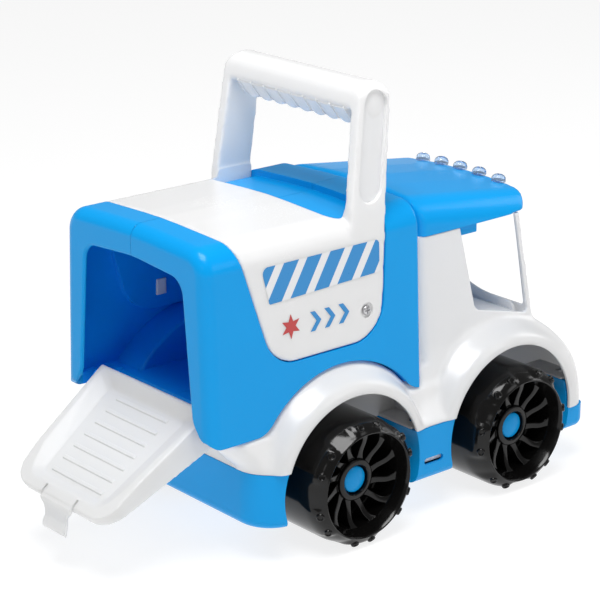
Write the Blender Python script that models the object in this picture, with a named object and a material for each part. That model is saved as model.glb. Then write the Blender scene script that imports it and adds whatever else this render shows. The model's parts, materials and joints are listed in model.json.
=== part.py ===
"""Toy truck with a carrying handle, an open cab and a tailgate that lets down as a ramp."""
import math

import bmesh
import bpy
from mathutils import Matrix, Vector

# Driving dimensions in metres: x runs forward from the rear axle, y to the left, z up from the ground
WALL = 0.0020
CLEARANCE = 0.0003
ARC_STEP = math.radians(22.5)

# Wheels and axles
WHEELBASE = 0.1344
WHEEL_RADIUS = 0.0400
WHEEL_INNER = 0.0370
WHEEL_OUTER = 0.0977
WHEEL_WALL = 0.0028
WHEEL_STEPS = 24
DISH_RADIUS = 0.0319
DISH_TAPER = 0.0022
WEB_FACE = 0.0730
HUB_RADIUS = 0.0133
HUB_FACE = 0.0862
HUB_TUBE_RADIUS = 0.0065
SPOKES = 12
SPOKE_THICKNESS = 0.0024
SPOKE_SWIRL = math.radians(14)
SPOKE_HUB_TOP = 0.0840
SPOKE_RIM_TOP = 0.0925
LOBES = 6
LOBE_HEIGHT = 0.0009
AXLE_RADIUS = 0.0025
AXLE_CLEARANCE = 0.0003
AXLE_STEPS = 16
CAP_RADIUS = 0.0083
CAP_SEAT = 0.0802
CAP_FACE = 0.0848
CAP_DOME = 0.0012

# Chassis tray
BASE_BOTTOM = 0.0220
BASE_TOP = 0.0575
REAR_OVERHANG = 0.0700
FRONT_OVERHANG = 0.0706
BASE_REAR = -REAR_OVERHANG
BASE_FRONT = WHEELBASE + FRONT_OVERHANG
APRON_LOW = 0.0385
BASE_HALF = 0.0790
BASE_CORNER = 0.0100
BASE_LOWER_EDGE = 0.0050
SPINE_HALF = 0.0330
ARCH_RADIUS = 0.0536
SLOT_LENGTH = 0.0160
SLOT_HEIGHT = 0.0040
SLOT_DEPTH = 0.0012
SLOT_RISE = 0.0080

# Screws
SCREW_SHANK_RADIUS = 0.0013
SCREW_HOLE_RADIUS = 0.0016
SCREW_HEAD_RADIUS = 0.0029
SCREW_HEAD_HEIGHT = 0.0016
SCREW_STEPS = 8
POST_RADIUS = 0.0046
POST_INSET_X = 0.0095
POST_HALF = 0.0600
POST_RECESS = 0.0080
POST_ENGAGE = 0.0100

# Flared arches of the white moulding
FLARE_ROOT_RADIUS = 0.0702
FLARE_ROOT_HALF = 0.0700
CAB_FLARE_ROOT_HALF = 0.0668
FLARE_LIP_RADIUS = 0.0575
FLARE_FACE = 0.0855
FLARE_STEPS = 4
CUP_HALF = 0.0480
ARCH_STEPS = 28

# White skirt
SKIRT_TOP = 0.0797
SKIRT_HALF_TOP = 0.0732
SKIRT_REAR = -0.0985
SKIRT_REAR_EDGE = 0.0783
PLINTH_TOP = 0.0853
PLINTH_HALF = 0.0700
PLINTH_REAR = -0.0700

# Cab
CAB_GAP = 0.0010
CAB_HALF_TOP = 0.0650
CAB_HALF_WAIST = 0.0670
CAB_WAIST = 0.0960
CAB_FRONT_TOP = WHEELBASE + 0.0226
CAB_FRONT_LOW = WHEELBASE + 0.0376
CAB_FRONT_LOW_Z = 0.0930
NOSE_HALF = 0.0665
SILL = 0.1120
WINDOW_REAR_TOP = WHEELBASE - 0.0314
WINDOW_REAR_LOW = WHEELBASE - 0.0159
WINDOW_CORNER = 0.0080
PILLAR = 0.0065
SCREEN_HALF = 0.0570

# Cab roof
ROOF_HEIGHT = 0.0270
ROOF_STEP = 0.0005
ROOF_FALL = 0.0130
ROOF_FRONT = WHEELBASE + 0.0381
ROOF_FRONT_EDGE = WHEELBASE + 0.0316
ROOF_HALF = 0.0662
ROOF_CORNER = 0.0180
ROOF_CROWN = 0.0035
ROOF_REAR_RADIUS = 0.0080
ROOF_FRONT_RADIUS = 0.0070
ROOF_LIP_RADIUS = 0.0045
TAB_REAR = WHEELBASE - 0.0309
TAB_LENGTH = 0.0170
TAB_DROP = 0.0060
LIGHT_COUNT = 5
LIGHT_PITCH = 0.0176
LIGHT_SETBACK = 0.0060
LIGHT_RADIUS = 0.00475
LIGHT_HEIGHT = 0.0052
LIGHT_PEG_RADIUS = 0.0014
LIGHT_PEG_LENGTH = 0.0035
LIGHT_STEPS = 8

# Van body
BODY_REAR = -0.1000
BODY_FRONT = 0.0650
BODY_BOTTOM = 0.0800
BODY_TOP = 0.2000
BODY_HALF_LOW = 0.0730
BODY_HALF_HIGH = 0.0676
BODY_CROWN = 0.0030
BODY_CORNER = 0.0160
BODY_REAR_EDGE = 0.0085
BODY_FRONT_EDGE = 0.0030
CROWN_RADIUS = 0.4000
FLOOR_TOP = 0.0876
ARCH_FILLET = 0.0160
BULGE_RADIUS = 0.0780
BULGE_HALF = 0.0457
OPENING_HALF_LOW = 0.0552
OPENING_HALF_TOP = 0.0470
OPENING_TOP = 0.1805
OPENING_CROWN = 0.0035
OPENING_CORNER = 0.0110
LEG_CUT_HALF = 0.0660
LEG_CUT_TOP = 0.0940
LEG_CUT_RADIUS = 0.0120
SEAM = 0.0003
CAB_REAR = BODY_FRONT + CAB_GAP
CAB_TOP = BODY_TOP - ROOF_HEIGHT
ROOF_REAR = CAB_REAR + CLEARANCE
ROOF_TOP_REAR = BODY_TOP - ROOF_STEP
ROOF_TOP_FRONT = ROOF_TOP_REAR - ROOF_FALL
LIGHT_X = ROOF_FRONT - LIGHT_SETBACK

# Saddle and handle
SADDLE_DEPTH = 0.0040
SADDLE_PLAY = 0.0004
SADDLE_REAR_LOW = -0.0512
SADDLE_REAR_LEAN = 0.3265
SADDLE_FRONT_LOW = 0.0333
SADDLE_FRONT_LEAN = 0.0700
SADDLE_LOW = 0.1202
SADDLE_RADIUS = 0.0245
SADDLE_TOP_FRONT = 0.0115
SADDLE_SCREW_X = 0.0214
SADDLE_SCREW_Z = 0.1390
SADDLE_SCREW_RING = 0.0048
SADDLE_SCREW_RECESS = 0.0012
BOSS_RADIUS = 0.0042
BOSS_LENGTH = 0.0090
LEG_REAR_LOW = 0.0115
LEG_REAR_HIGH = 0.0186
LEG_FRONT_HIGH = 0.0440
LEG_FOOT_RADIUS = 0.0080
LEG_BEND = 0.0200
LEG_HALF_LOW = 0.0682
LEG_HALF_HIGH = 0.0628
LEG_THICKNESS = 0.0080
HANDLE_RISE = 0.0755
HANDLE_TOP = BODY_TOP + HANDLE_RISE
GRIP_DEPTH = 0.0205
GRIP_UNDERSIDE = HANDLE_TOP - GRIP_DEPTH
GRIP_EDGE = 0.0110
GRIP_LOWER_EDGE = 0.0040
GRIP_INSET = 0.0004
SCALLOPS = 8
SCALLOP_DEPTH = 0.0035
SCALLOP_DROP = 0.0050
SCALLOP_INSET = 0.0040
SCALLOP_STEPS = 5
LEG_SLOT_WIDTH = 0.0185
LEG_SLOT_DEPTH = 0.0028
LEG_SLOT_LOW = BODY_TOP + 0.0035
LEG_SLOT_HIGH = HANDLE_TOP - 0.0055

# Tailgate: s runs from the pivot to the tip, n up from the pivot to the ramp side
PIVOT_X = -0.0840
PIVOT_Z = 0.0845
OPEN_SLOPE = math.radians(34.0)
GATE_HEEL = -0.0055
GATE_TIP = 0.0845
GATE_HALF_HEEL = 0.0540
GATE_HALF_TIP = 0.0465
GATE_TIP_RADIUS = 0.0160
GATE_RIM = 0.0102
GATE_TIP_RIM = 0.0075
GATE_FLOOR = 0.0052
GATE_PANEL = 0.0022
GATE_OUTER_HEEL = -0.0106
GATE_OUTER_SLOPE = 0.1400
GATE_FLOOR_HALF = 0.0356
GATE_FLOOR_TIP_HALF = 0.0300
GATE_RIM_WALL = 0.0024
GATE_FLOOR_END = 0.0730
GATE_RIBS = 7
GATE_RIB_PITCH = 0.0096
GATE_RIB_FIRST = 0.0095
GATE_RIB_HALF = 0.0252
GATE_RIB_WIDTH = 0.0016
GATE_RIB_HEIGHT = 0.0011
TONGUE_ROOT_HALF = 0.0150
TONGUE_END_HALF = 0.0120
TONGUE_LENGTH = 0.0190
TONGUE_DROP = math.radians(45.0)
TONGUE_THICKNESS = 0.0024
TONGUE_SLIT = 0.0016
PIN_RADIUS = 0.0025
PIN_LENGTH = 0.0042
EAR_INNER = 0.0552
EAR_THICKNESS = 0.0030
EAR_RADIUS = 0.0068
EAR_FRONT = -0.0745

# Long enough to pass through the whole truck
REACH = 0.3000
TONGUE_END = (GATE_TIP - GATE_RIM_WALL + TONGUE_LENGTH * math.cos(TONGUE_DROP)
              + TONGUE_THICKNESS * math.sin(TONGUE_DROP))
TONGUE_LOW = (GATE_TIP_RIM - TONGUE_THICKNESS - TONGUE_LENGTH * math.sin(TONGUE_DROP)
              + TONGUE_THICKNESS * math.cos(TONGUE_DROP))
REAR_END = PIVOT_X - TONGUE_END * math.cos(OPEN_SLOPE) - TONGUE_LOW * math.sin(OPEN_SLOPE)
MID_X = (BASE_FRONT + REAR_END) / 2


def rounded(corners):
    # An outline whose corners (a, b, radius) are turned into arcs
    points = []
    for i, (a, b, radius) in enumerate(corners):
        here = Vector((a, b))
        if radius <= 0:
            points.append(here)
            continue
        before = (Vector(corners[i - 1][:2]) - here).normalized()
        after = (Vector(corners[(i + 1) % len(corners)][:2]) - here).normalized()
        half = before.angle(after) / 2
        centre = here + (before + after).normalized() * radius / math.sin(half)
        start = here + before * radius / math.tan(half) - centre
        end = here + after * radius / math.tan(half) - centre
        sweep = math.pi - 2 * half
        sign = 1 if start.x * end.y - start.y * end.x > 0 else -1
        steps = max(2, math.ceil(sweep / ARC_STEP))
        first = math.atan2(start.y, start.x)
        for k in range(steps + 1):
            angle = first + sign * sweep * k / steps
            points.append(centre + radius * Vector((math.cos(angle), math.sin(angle))))
    return points


def prism(outline, axis, low, high):
    # An outline drawn square to an axis and extruded along it
    c = 'XYZ'.index(axis)
    a, b = [k for k in range(3) if k != c]
    bm = bmesh.new()
    ring = []
    for point in outline:
        place = Vector()
        place[a], place[b], place[c] = point[0], point[1], low
        ring.append(bm.verts.new(place))
    face = bm.faces.new(ring)
    top = bmesh.ops.extrude_face_region(bm, geom=[face])['geom']
    shift = Vector()
    shift[c] = high - low
    bmesh.ops.translate(bm, verts=[v for v in top if isinstance(v, bmesh.types.BMVert)], vec=shift)
    bmesh.ops.recalc_face_normals(bm, faces=bm.faces)
    return bm


def box(low, high):
    outline = [(low[0], low[1]), (high[0], low[1]), (high[0], high[1]), (low[0], high[1])]
    return prism(outline, 'Z', low[2], high[2])


def loft(low_outline, low_z, high_outline, high_z):
    # A block between two outlines with the same number of points
    bm = bmesh.new()
    edges = []
    for outline, z in ((low_outline, low_z), (high_outline, high_z)):
        ring = [bm.verts.new((p[0], p[1], z)) for p in outline]
        edges.extend(bm.faces.new(ring).edges)
    bmesh.ops.bridge_loops(bm, edges=edges)
    bmesh.ops.recalc_face_normals(bm, faces=bm.faces)
    return bm


def turned(profile, steps):
    # A closed profile of (radius, y) points turned about the Y axis
    bm = bmesh.new()
    ring = [bm.verts.new((r, y, 0)) for r, y in profile]
    edges = [bm.edges.new((ring[i - 1], ring[i])) for i in range(len(ring))]
    bmesh.ops.spin(bm, geom=ring + edges, axis=(0, 1, 0), angle=math.tau, steps=steps, use_merge=True)
    bmesh.ops.remove_doubles(bm, verts=bm.verts, dist=1e-6)
    bmesh.ops.dissolve_degenerate(bm, edges=bm.edges, dist=1e-6)
    bmesh.ops.delete(bm, geom=[e for e in bm.edges if e.is_wire], context='EDGES')
    bmesh.ops.recalc_face_normals(bm, faces=bm.faces)
    return bm


def drum(profile):
    # A turned solid with a flat round face at each end
    ends = [(0, profile[0][1])] + profile + [(0, profile[-1][1])]
    bm = turned(ends, ARCH_STEPS)
    bmesh.ops.dissolve_verts(bm, verts=[v for v in bm.verts if math.hypot(v.co.x, v.co.z) < CLEARANCE])
    return bm


def rod(radius, low, high, steps, axis='Y'):
    # A round bar along one axis
    angles = [math.tau * k / steps for k in range(steps)]
    return prism([(radius * math.cos(a), radius * math.sin(a)) for a in angles], axis, low, high)


def upright(bm):
    # Stands a shape that was turned about Y along Z
    bmesh.ops.rotate(bm, verts=bm.verts, matrix=Matrix.Rotation(math.pi / 2, 3, 'X'))
    return bm


def moved(bm, x=0.0, y=0.0, z=0.0):
    bmesh.ops.translate(bm, verts=bm.verts, vec=(x, y, z))
    return bm


def mirrored(bm):
    # The same shape on the other side of the truck
    bmesh.ops.scale(bm, verts=bm.verts, vec=(1, -1, 1))
    bmesh.ops.reverse_faces(bm, faces=bm.faces)
    return bm


def soften(bm, picks, width, segments=3):
    # Rounds the edges whose two ends satisfy a test
    edges = [e for e in bm.edges if picks(e.verts[0].co) and picks(e.verts[1].co)]
    bmesh.ops.bevel(bm, geom=edges, offset=width, segments=segments, profile=0.5, affect='EDGES',
                    clamp_overlap=True)
    return bm


def blank(bm, name='blank'):
    mesh = bpy.data.meshes.new(name)
    bm.to_mesh(mesh)
    bm.free()
    obj = bpy.data.objects.new(name, mesh)
    bpy.context.collection.objects.link(obj)
    return obj


def combine(target, tool, operation):
    # Applies one Boolean and takes the tool away
    modifier = target.modifiers.new(operation, 'BOOLEAN')
    modifier.operation = operation
    modifier.object = tool
    result = target.evaluated_get(bpy.context.evaluated_depsgraph_get())
    mesh = bpy.data.meshes.new_from_object(result)
    target.modifiers.clear()
    old = [target.data, tool.data]
    target.data = mesh
    bpy.data.objects.remove(tool)
    for unused in old:
        bpy.data.meshes.remove(unused)
    return target


def add(target, *shapes):
    for bm in shapes:
        combine(target, blank(bm), 'UNION')
    return target


def cut(target, *shapes):
    for bm in shapes:
        combine(target, blank(bm), 'DIFFERENCE')
    return target


def keep(target, *shapes):
    for bm in shapes:
        combine(target, blank(bm), 'INTERSECT')
    return target


def material(name, colour, roughness, metallic=0.0):
    made = bpy.data.materials.new(name)
    made.use_nodes = True
    shader = made.node_tree.nodes['Principled BSDF']
    shader.inputs['Base Color'].default_value = (*colour, 1.0)
    shader.inputs['Roughness'].default_value = roughness
    shader.inputs['Metallic'].default_value = metallic
    return made


def finish(obj, name, finish_material, parent):
    # Cleans a finished piece, shades it and hangs it on its parent
    bm = bmesh.new()
    bm.from_mesh(obj.data)
    bmesh.ops.remove_doubles(bm, verts=bm.verts, dist=1e-6)
    bmesh.ops.delete(bm, geom=[e for e in bm.edges if e.is_wire], context='EDGES')
    bm.to_mesh(obj.data)
    bm.free()
    obj.name = name
    obj.data.name = name
    obj.data.materials.clear()
    obj.data.materials.append(finish_material)
    obj.data.shade_smooth()
    obj.data.set_sharp_from_angle(angle=math.radians(32))
    obj.parent = parent
    return obj


def empty(name, location, parent=None):
    obj = bpy.data.objects.new(name, None)
    obj.location = location
    obj.parent = parent
    bpy.context.collection.objects.link(obj)
    return obj


# Wheels


def wheel_profile():
    # The section of a thin one-piece wheel, from its hub round to its tread
    bore = AXLE_RADIUS + AXLE_CLEARANCE
    seat = CAP_RADIUS + 2 * CLEARANCE
    inside = WHEEL_RADIUS - WHEEL_WALL
    dish_low = DISH_RADIUS - DISH_TAPER
    shoulder = WHEEL_OUTER - WHEEL_WALL
    return [
        (bore, SPINE_HALF + 2 * CLEARANCE), (bore, CAP_SEAT - CLEARANCE),
        (seat, CAP_SEAT - CLEARANCE), (seat + 0.0006, HUB_FACE),
        (HUB_RADIUS - 0.0014, HUB_FACE), (HUB_RADIUS, HUB_FACE - 0.0014), (HUB_RADIUS, WEB_FACE),
        (dish_low, WEB_FACE), (DISH_RADIUS - 0.0008, WHEEL_OUTER - 0.0040), (DISH_RADIUS, WHEEL_OUTER),
        (DISH_RADIUS + 0.0014, WHEEL_OUTER), (WHEEL_RADIUS - 0.0052, WHEEL_OUTER - 0.0010),
        (WHEEL_RADIUS - 0.0016, WHEEL_OUTER - 0.0050), (WHEEL_RADIUS, WHEEL_OUTER - 0.0125),
        (WHEEL_RADIUS, WHEEL_INNER + 0.0090), (WHEEL_RADIUS - 0.0012, WHEEL_INNER),
        (inside, WHEEL_INNER), (inside, WHEEL_OUTER - 0.0125), (dish_low + WHEEL_WALL + 0.0010, shoulder),
        (dish_low + WHEEL_WALL, WEB_FACE - WHEEL_WALL), (HUB_TUBE_RADIUS, WEB_FACE - WHEEL_WALL),
        (HUB_TUBE_RADIUS, SPINE_HALF + 2 * CLEARANCE)]


def shape_lobes(bm):
    # Raises six soft lobes round the outer shoulder of the tread
    for v in bm.verts:
        radius = math.hypot(v.co.x, v.co.z)
        if radius > WHEEL_RADIUS - 0.0060 and WHEEL_OUTER - 0.0100 < v.co.y < WHEEL_OUTER - 0.0005:
            swell = (math.cos(LOBES * math.atan2(v.co.z, v.co.x)) - 1) / 2
            v.co.x += v.co.x / radius * LOBE_HEIGHT * swell
            v.co.z += v.co.z / radius * LOBE_HEIGHT * swell
    return bm


def spoke(angle):
    # One deep rib from the hub to the dish, swept round as it goes out
    root = HUB_RADIUS - 0.0008
    tip = DISH_RADIUS - DISH_TAPER + 0.0008
    stations = 3
    bm = bmesh.new()
    rings = []
    for k in range(stations):
        share = k / (stations - 1)
        radius = root + (tip - root) * share
        turn = angle + SPOKE_SWIRL * (share - math.sin(math.tau * share) / 9)
        out = Vector((math.cos(turn), 0, math.sin(turn)))
        side = Vector((-out.z, 0, out.x)) * SPOKE_THICKNESS / 2
        top = SPOKE_HUB_TOP + (SPOKE_RIM_TOP - SPOKE_HUB_TOP) * share ** 2
        low = WEB_FACE - WHEEL_WALL / 2
        base = out * radius
        corners = [base - side + Vector((0, low, 0)), base + side + Vector((0, low, 0)),
                   base + side * 0.7 + Vector((0, top, 0)), base - side * 0.7 + Vector((0, top, 0))]
        rings.append([bm.verts.new(c) for c in corners])
    bm.faces.new(rings[0])
    bm.faces.new(rings[-1])
    for near, far in zip(rings, rings[1:]):
        for k in range(4):
            bm.faces.new((near[k - 1], near[k], far[k], far[k - 1]))
    bmesh.ops.recalc_face_normals(bm, faces=bm.faces)
    return bm


def joined(shapes):
    # Several separate shapes in one mesh, to be used as one tool
    whole = bmesh.new()
    for bm in shapes:
        mesh = bpy.data.meshes.new('piece')
        bm.to_mesh(mesh)
        bm.free()
        whole.from_mesh(mesh)
        bpy.data.meshes.remove(mesh)
    return whole


def make_wheel():
    wheel = blank(shape_lobes(turned(wheel_profile(), WHEEL_STEPS)), 'wheel')
    return add(wheel, joined(spoke(math.tau * k / SPOKES) for k in range(SPOKES)))


def wheels(truck, black, blue, steel):
    pattern = make_wheel()
    cap_profile = [(0, CAP_SEAT), (CAP_RADIUS, CAP_SEAT), (CAP_RADIUS, CAP_FACE - CAP_DOME / 2),
                   (CAP_RADIUS * 0.85, CAP_FACE + CAP_DOME * 0.2),
                   (CAP_RADIUS * 0.5, CAP_FACE + CAP_DOME * 0.8), (0, CAP_FACE + CAP_DOME)]
    bore = AXLE_RADIUS + CLEARANCE / 3
    depth = (CAP_FACE - CAP_SEAT) * 0.6
    cap_profile[:1] = [(0, CAP_SEAT + depth), (bore, CAP_SEAT + depth), (bore, CAP_SEAT)]
    for end, x in (('front', WHEELBASE), ('rear', 0.0)):
        reach = CAP_SEAT + depth - CLEARANCE
        axle = blank(rod(AXLE_RADIUS, -reach, reach, AXLE_STEPS))
        finish(axle, f'{end}_axle', steel, truck).location = (x, 0, WHEEL_RADIUS)
        for side, sign in (('left', 1), ('right', -1)):
            wheel_mesh, cap = bmesh.new(), turned(cap_profile, WHEEL_STEPS - 8)
            wheel_mesh.from_mesh(pattern.data)
            if sign < 0:
                mirrored(wheel_mesh)
                mirrored(cap)
            wheel = finish(blank(wheel_mesh), f'wheel_{end}_{side}', black, truck)
            wheel.location = (x, 0, WHEEL_RADIUS)
            finish(blank(cap), f'axle_cap_{end}_{side}', blue, truck).location = (x, 0, WHEEL_RADIUS)
    bpy.data.objects.remove(pattern)


# Chassis


def base_outline(inset):
    radius = BASE_CORNER - inset
    rear, front, half = BASE_REAR + inset, BASE_FRONT - inset, BASE_HALF - inset
    return rounded([(rear, -half, radius), (front, -half, radius), (front, half, radius),
                    (rear, half, radius)])


def wheel_room(radius, inner, x, side):
    # A cylinder over one wheel that runs out past the side of the truck
    low, high = sorted((side * inner, side * REACH))
    return moved(rod(radius, low, high, ARCH_STEPS), x, 0, WHEEL_RADIUS)


def post_places():
    rear, front = BASE_REAR + POST_INSET_X, BASE_FRONT - POST_INSET_X
    return [(x, side * POST_HALF) for x in (rear, front) for side in (-1, 1)]


def chassis(truck, blue, steel):
    lower = prism(base_outline(0), 'Z', BASE_BOTTOM, BASE_TOP)
    soften(lower, lambda co: co.z < BASE_BOTTOM + 1e-5, BASE_LOWER_EDGE)
    base = blank(lower)
    hollow = blank(prism(base_outline(WALL), 'Z', BASE_BOTTOM + WALL, BASE_TOP + WALL))
    for x in (0.0, WHEELBASE):
        for side in (-1, 1):
            cut(hollow, wheel_room(ARCH_RADIUS + WALL, SPINE_HALF - WALL, x, side))
            cut(base, wheel_room(ARCH_RADIUS, SPINE_HALF, x, side))
    combine(base, hollow, 'DIFFERENCE')
    bow = WHEELBASE + WHEEL_RADIUS
    cut(base, box((bow, -REACH, APRON_LOW - CLEARANCE), (REACH, REACH, REACH)))
    for x, y in post_places():
        top = BASE_TOP if x < 0 else APRON_LOW - CLEARANCE
        add(base, moved(rod(POST_RADIUS, BASE_BOTTOM + WALL / 2, top, SCREW_STEPS, 'Z'), x, y))
    for x, y in post_places():
        pocket = rod(SCREW_HEAD_RADIUS + CLEARANCE, 0, BASE_BOTTOM + POST_RECESS, SCREW_STEPS, 'Z')
        cut(base, moved(pocket, x, y), moved(rod(SCREW_HOLE_RADIUS, 0, REACH, SCREW_STEPS, 'Z'), x, y))
    for x in (0.0, WHEELBASE):
        bearing = rod(AXLE_RADIUS + CLEARANCE / 2, -BASE_HALF, BASE_HALF, AXLE_STEPS)
        cut(base, moved(bearing, x, 0, WHEEL_RADIUS))
    middle = WHEELBASE / 2 + SLOT_LENGTH / 4
    for side in (-1, 1):
        near, far = sorted((side * (BASE_HALF - SLOT_DEPTH), side * REACH))
        cut(base, box((middle - SLOT_LENGTH / 2, near, BASE_BOTTOM + SLOT_RISE),
                      (middle + SLOT_LENGTH / 2, far, BASE_BOTTOM + SLOT_RISE + SLOT_HEIGHT)))
    finish(base, 'chassis_base', blue, truck)
    seat = BASE_BOTTOM + POST_RECESS - CLEARANCE
    for k, (x, y) in enumerate(post_places(), 1):
        tip = (SKIRT_LOW if x < 0 else APRON_LOW) + POST_ENGAGE - 3 * CLEARANCE
        screw = turned([(0, seat - SCREW_HEAD_HEIGHT), (SCREW_HEAD_RADIUS, seat - SCREW_HEAD_HEIGHT),
                        (SCREW_HEAD_RADIUS, seat), (SCREW_SHANK_RADIUS, seat), (SCREW_SHANK_RADIUS, tip),
                        (0, tip)], SCREW_STEPS)
        finish(blank(upright(screw)), f'chassis_screw_{k}', steel, truck).location = (x, y, 0)


SKIRT_LOW = BASE_TOP + CLEARANCE


# White cab and skirt moulding


def flare_root(x):
    return CAB_FLARE_ROOT_HALF if x > 0 else FLARE_ROOT_HALF


def flare_curve(x, shift):
    # The S-shaped side of an arch, from its root to its lip
    root = flare_root(x)
    points = []
    for k in range(FLARE_STEPS + 1):
        share = k / FLARE_STEPS
        radius = FLARE_ROOT_RADIUS + (FLARE_LIP_RADIUS - FLARE_ROOT_RADIUS) * share
        ease = (1 - math.cos(math.pi * share)) / 2
        points.append((radius, root + (FLARE_FACE - root) * ease - shift))
    return points


def flare_solid(x, side):
    bm = drum([(FLARE_ROOT_RADIUS, CUP_HALF)] + flare_curve(x, 0))
    return moved(bm if side > 0 else mirrored(bm), x, 0, WHEEL_RADIUS)


def flare_room(x, side):
    # The space under one arch: it follows the flare one wall further in
    inner = FLARE_ROOT_RADIUS - WALL
    curve = [(min(r, inner), y) for r, y in flare_curve(x, WALL)]
    bm = drum([(inner, CUP_HALF + WALL)] + curve + [(ARCH_RADIUS, FLARE_FACE - WALL), (ARCH_RADIUS, REACH)])
    return moved(bm if side > 0 else mirrored(bm), x, 0, WHEEL_RADIUS)


def skirt_section(inset):
    low, top = BASE_HALF - inset, SKIRT_HALF_TOP - inset
    z0, z1 = (SKIRT_LOW, SKIRT_TOP) if inset == 0 else (SKIRT_LOW - WALL, SKIRT_TOP - inset)
    middle = (z0 + z1) / 2
    return rounded([(-low, z0, 0), (low, z0, 0), (low - 0.0012, middle, BASE_CORNER), (top, z1, 0),
                    (-top, z1, 0), (0.0012 - low, middle, BASE_CORNER)])


def cab_section(inset, floor):
    waist, top = CAB_HALF_WAIST - inset, CAB_HALF_TOP - inset
    low = BASE_HALF - inset
    knee = SKIRT_LOW + BASE_CORNER
    lid = CAB_TOP if inset == 0 else CAB_TOP + WALL
    side = [(low, floor, 0), (low - 0.0015, knee, BASE_CORNER), (waist, CAB_WAIST, FLARE_ROOT_HALF / 2),
            (top, lid, 0)]
    if floor > knee:
        side = [(waist, floor, 0), (top, lid, 0)]
    return rounded([(-y, z, r) for y, z, r in reversed(side)] + side)


def cab_side(inset, floor):
    lean = (CAB_FRONT_LOW - CAB_FRONT_TOP) / (CAB_TOP - CAB_FRONT_LOW_Z)
    top = CAB_TOP + inset
    front = CAB_FRONT_TOP - inset - lean * inset
    low = CAB_FRONT_LOW - inset
    rear = CAB_REAR + inset
    return [(rear, floor), (low, floor), (low, CAB_FRONT_LOW_Z), (front, top), (rear, top)]


def half_disc(radius, floor):
    # The part of a circle round the front axle that lies above a floor
    first = math.asin((floor - WHEEL_RADIUS) / radius)
    steps = ARCH_STEPS // 2
    angles = [first + (math.pi - 2 * first) * k / steps for k in range(steps + 1)]
    return [(WHEELBASE + radius * math.cos(a), WHEEL_RADIUS + radius * math.sin(a)) for a in angles]


def window_outline():
    rear_lean = (WINDOW_REAR_LOW - WINDOW_REAR_TOP) / (CAB_TOP - SILL)
    front_lean = (CAB_FRONT_LOW - CAB_FRONT_TOP) / (CAB_TOP - CAB_FRONT_LOW_Z)
    rise = WALL * 4
    front_top = CAB_FRONT_TOP - PILLAR
    front_low = front_top + front_lean * (CAB_TOP - SILL)
    return rounded([(WINDOW_REAR_TOP - rear_lean * rise, CAB_TOP + rise, 0),
                    (WINDOW_REAR_LOW, SILL, WINDOW_CORNER), (front_low, SILL, WINDOW_CORNER / 2),
                    (front_top - front_lean * rise, CAB_TOP + rise, 0)])


def screen_outline():
    return rounded([(-SCREEN_HALF, CAB_TOP + WALL, 0), (-SCREEN_HALF, SILL, WINDOW_CORNER / 2),
                    (SCREEN_HALF, SILL, WINDOW_CORNER / 2), (SCREEN_HALF, CAB_TOP + WALL, 0)])


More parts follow.
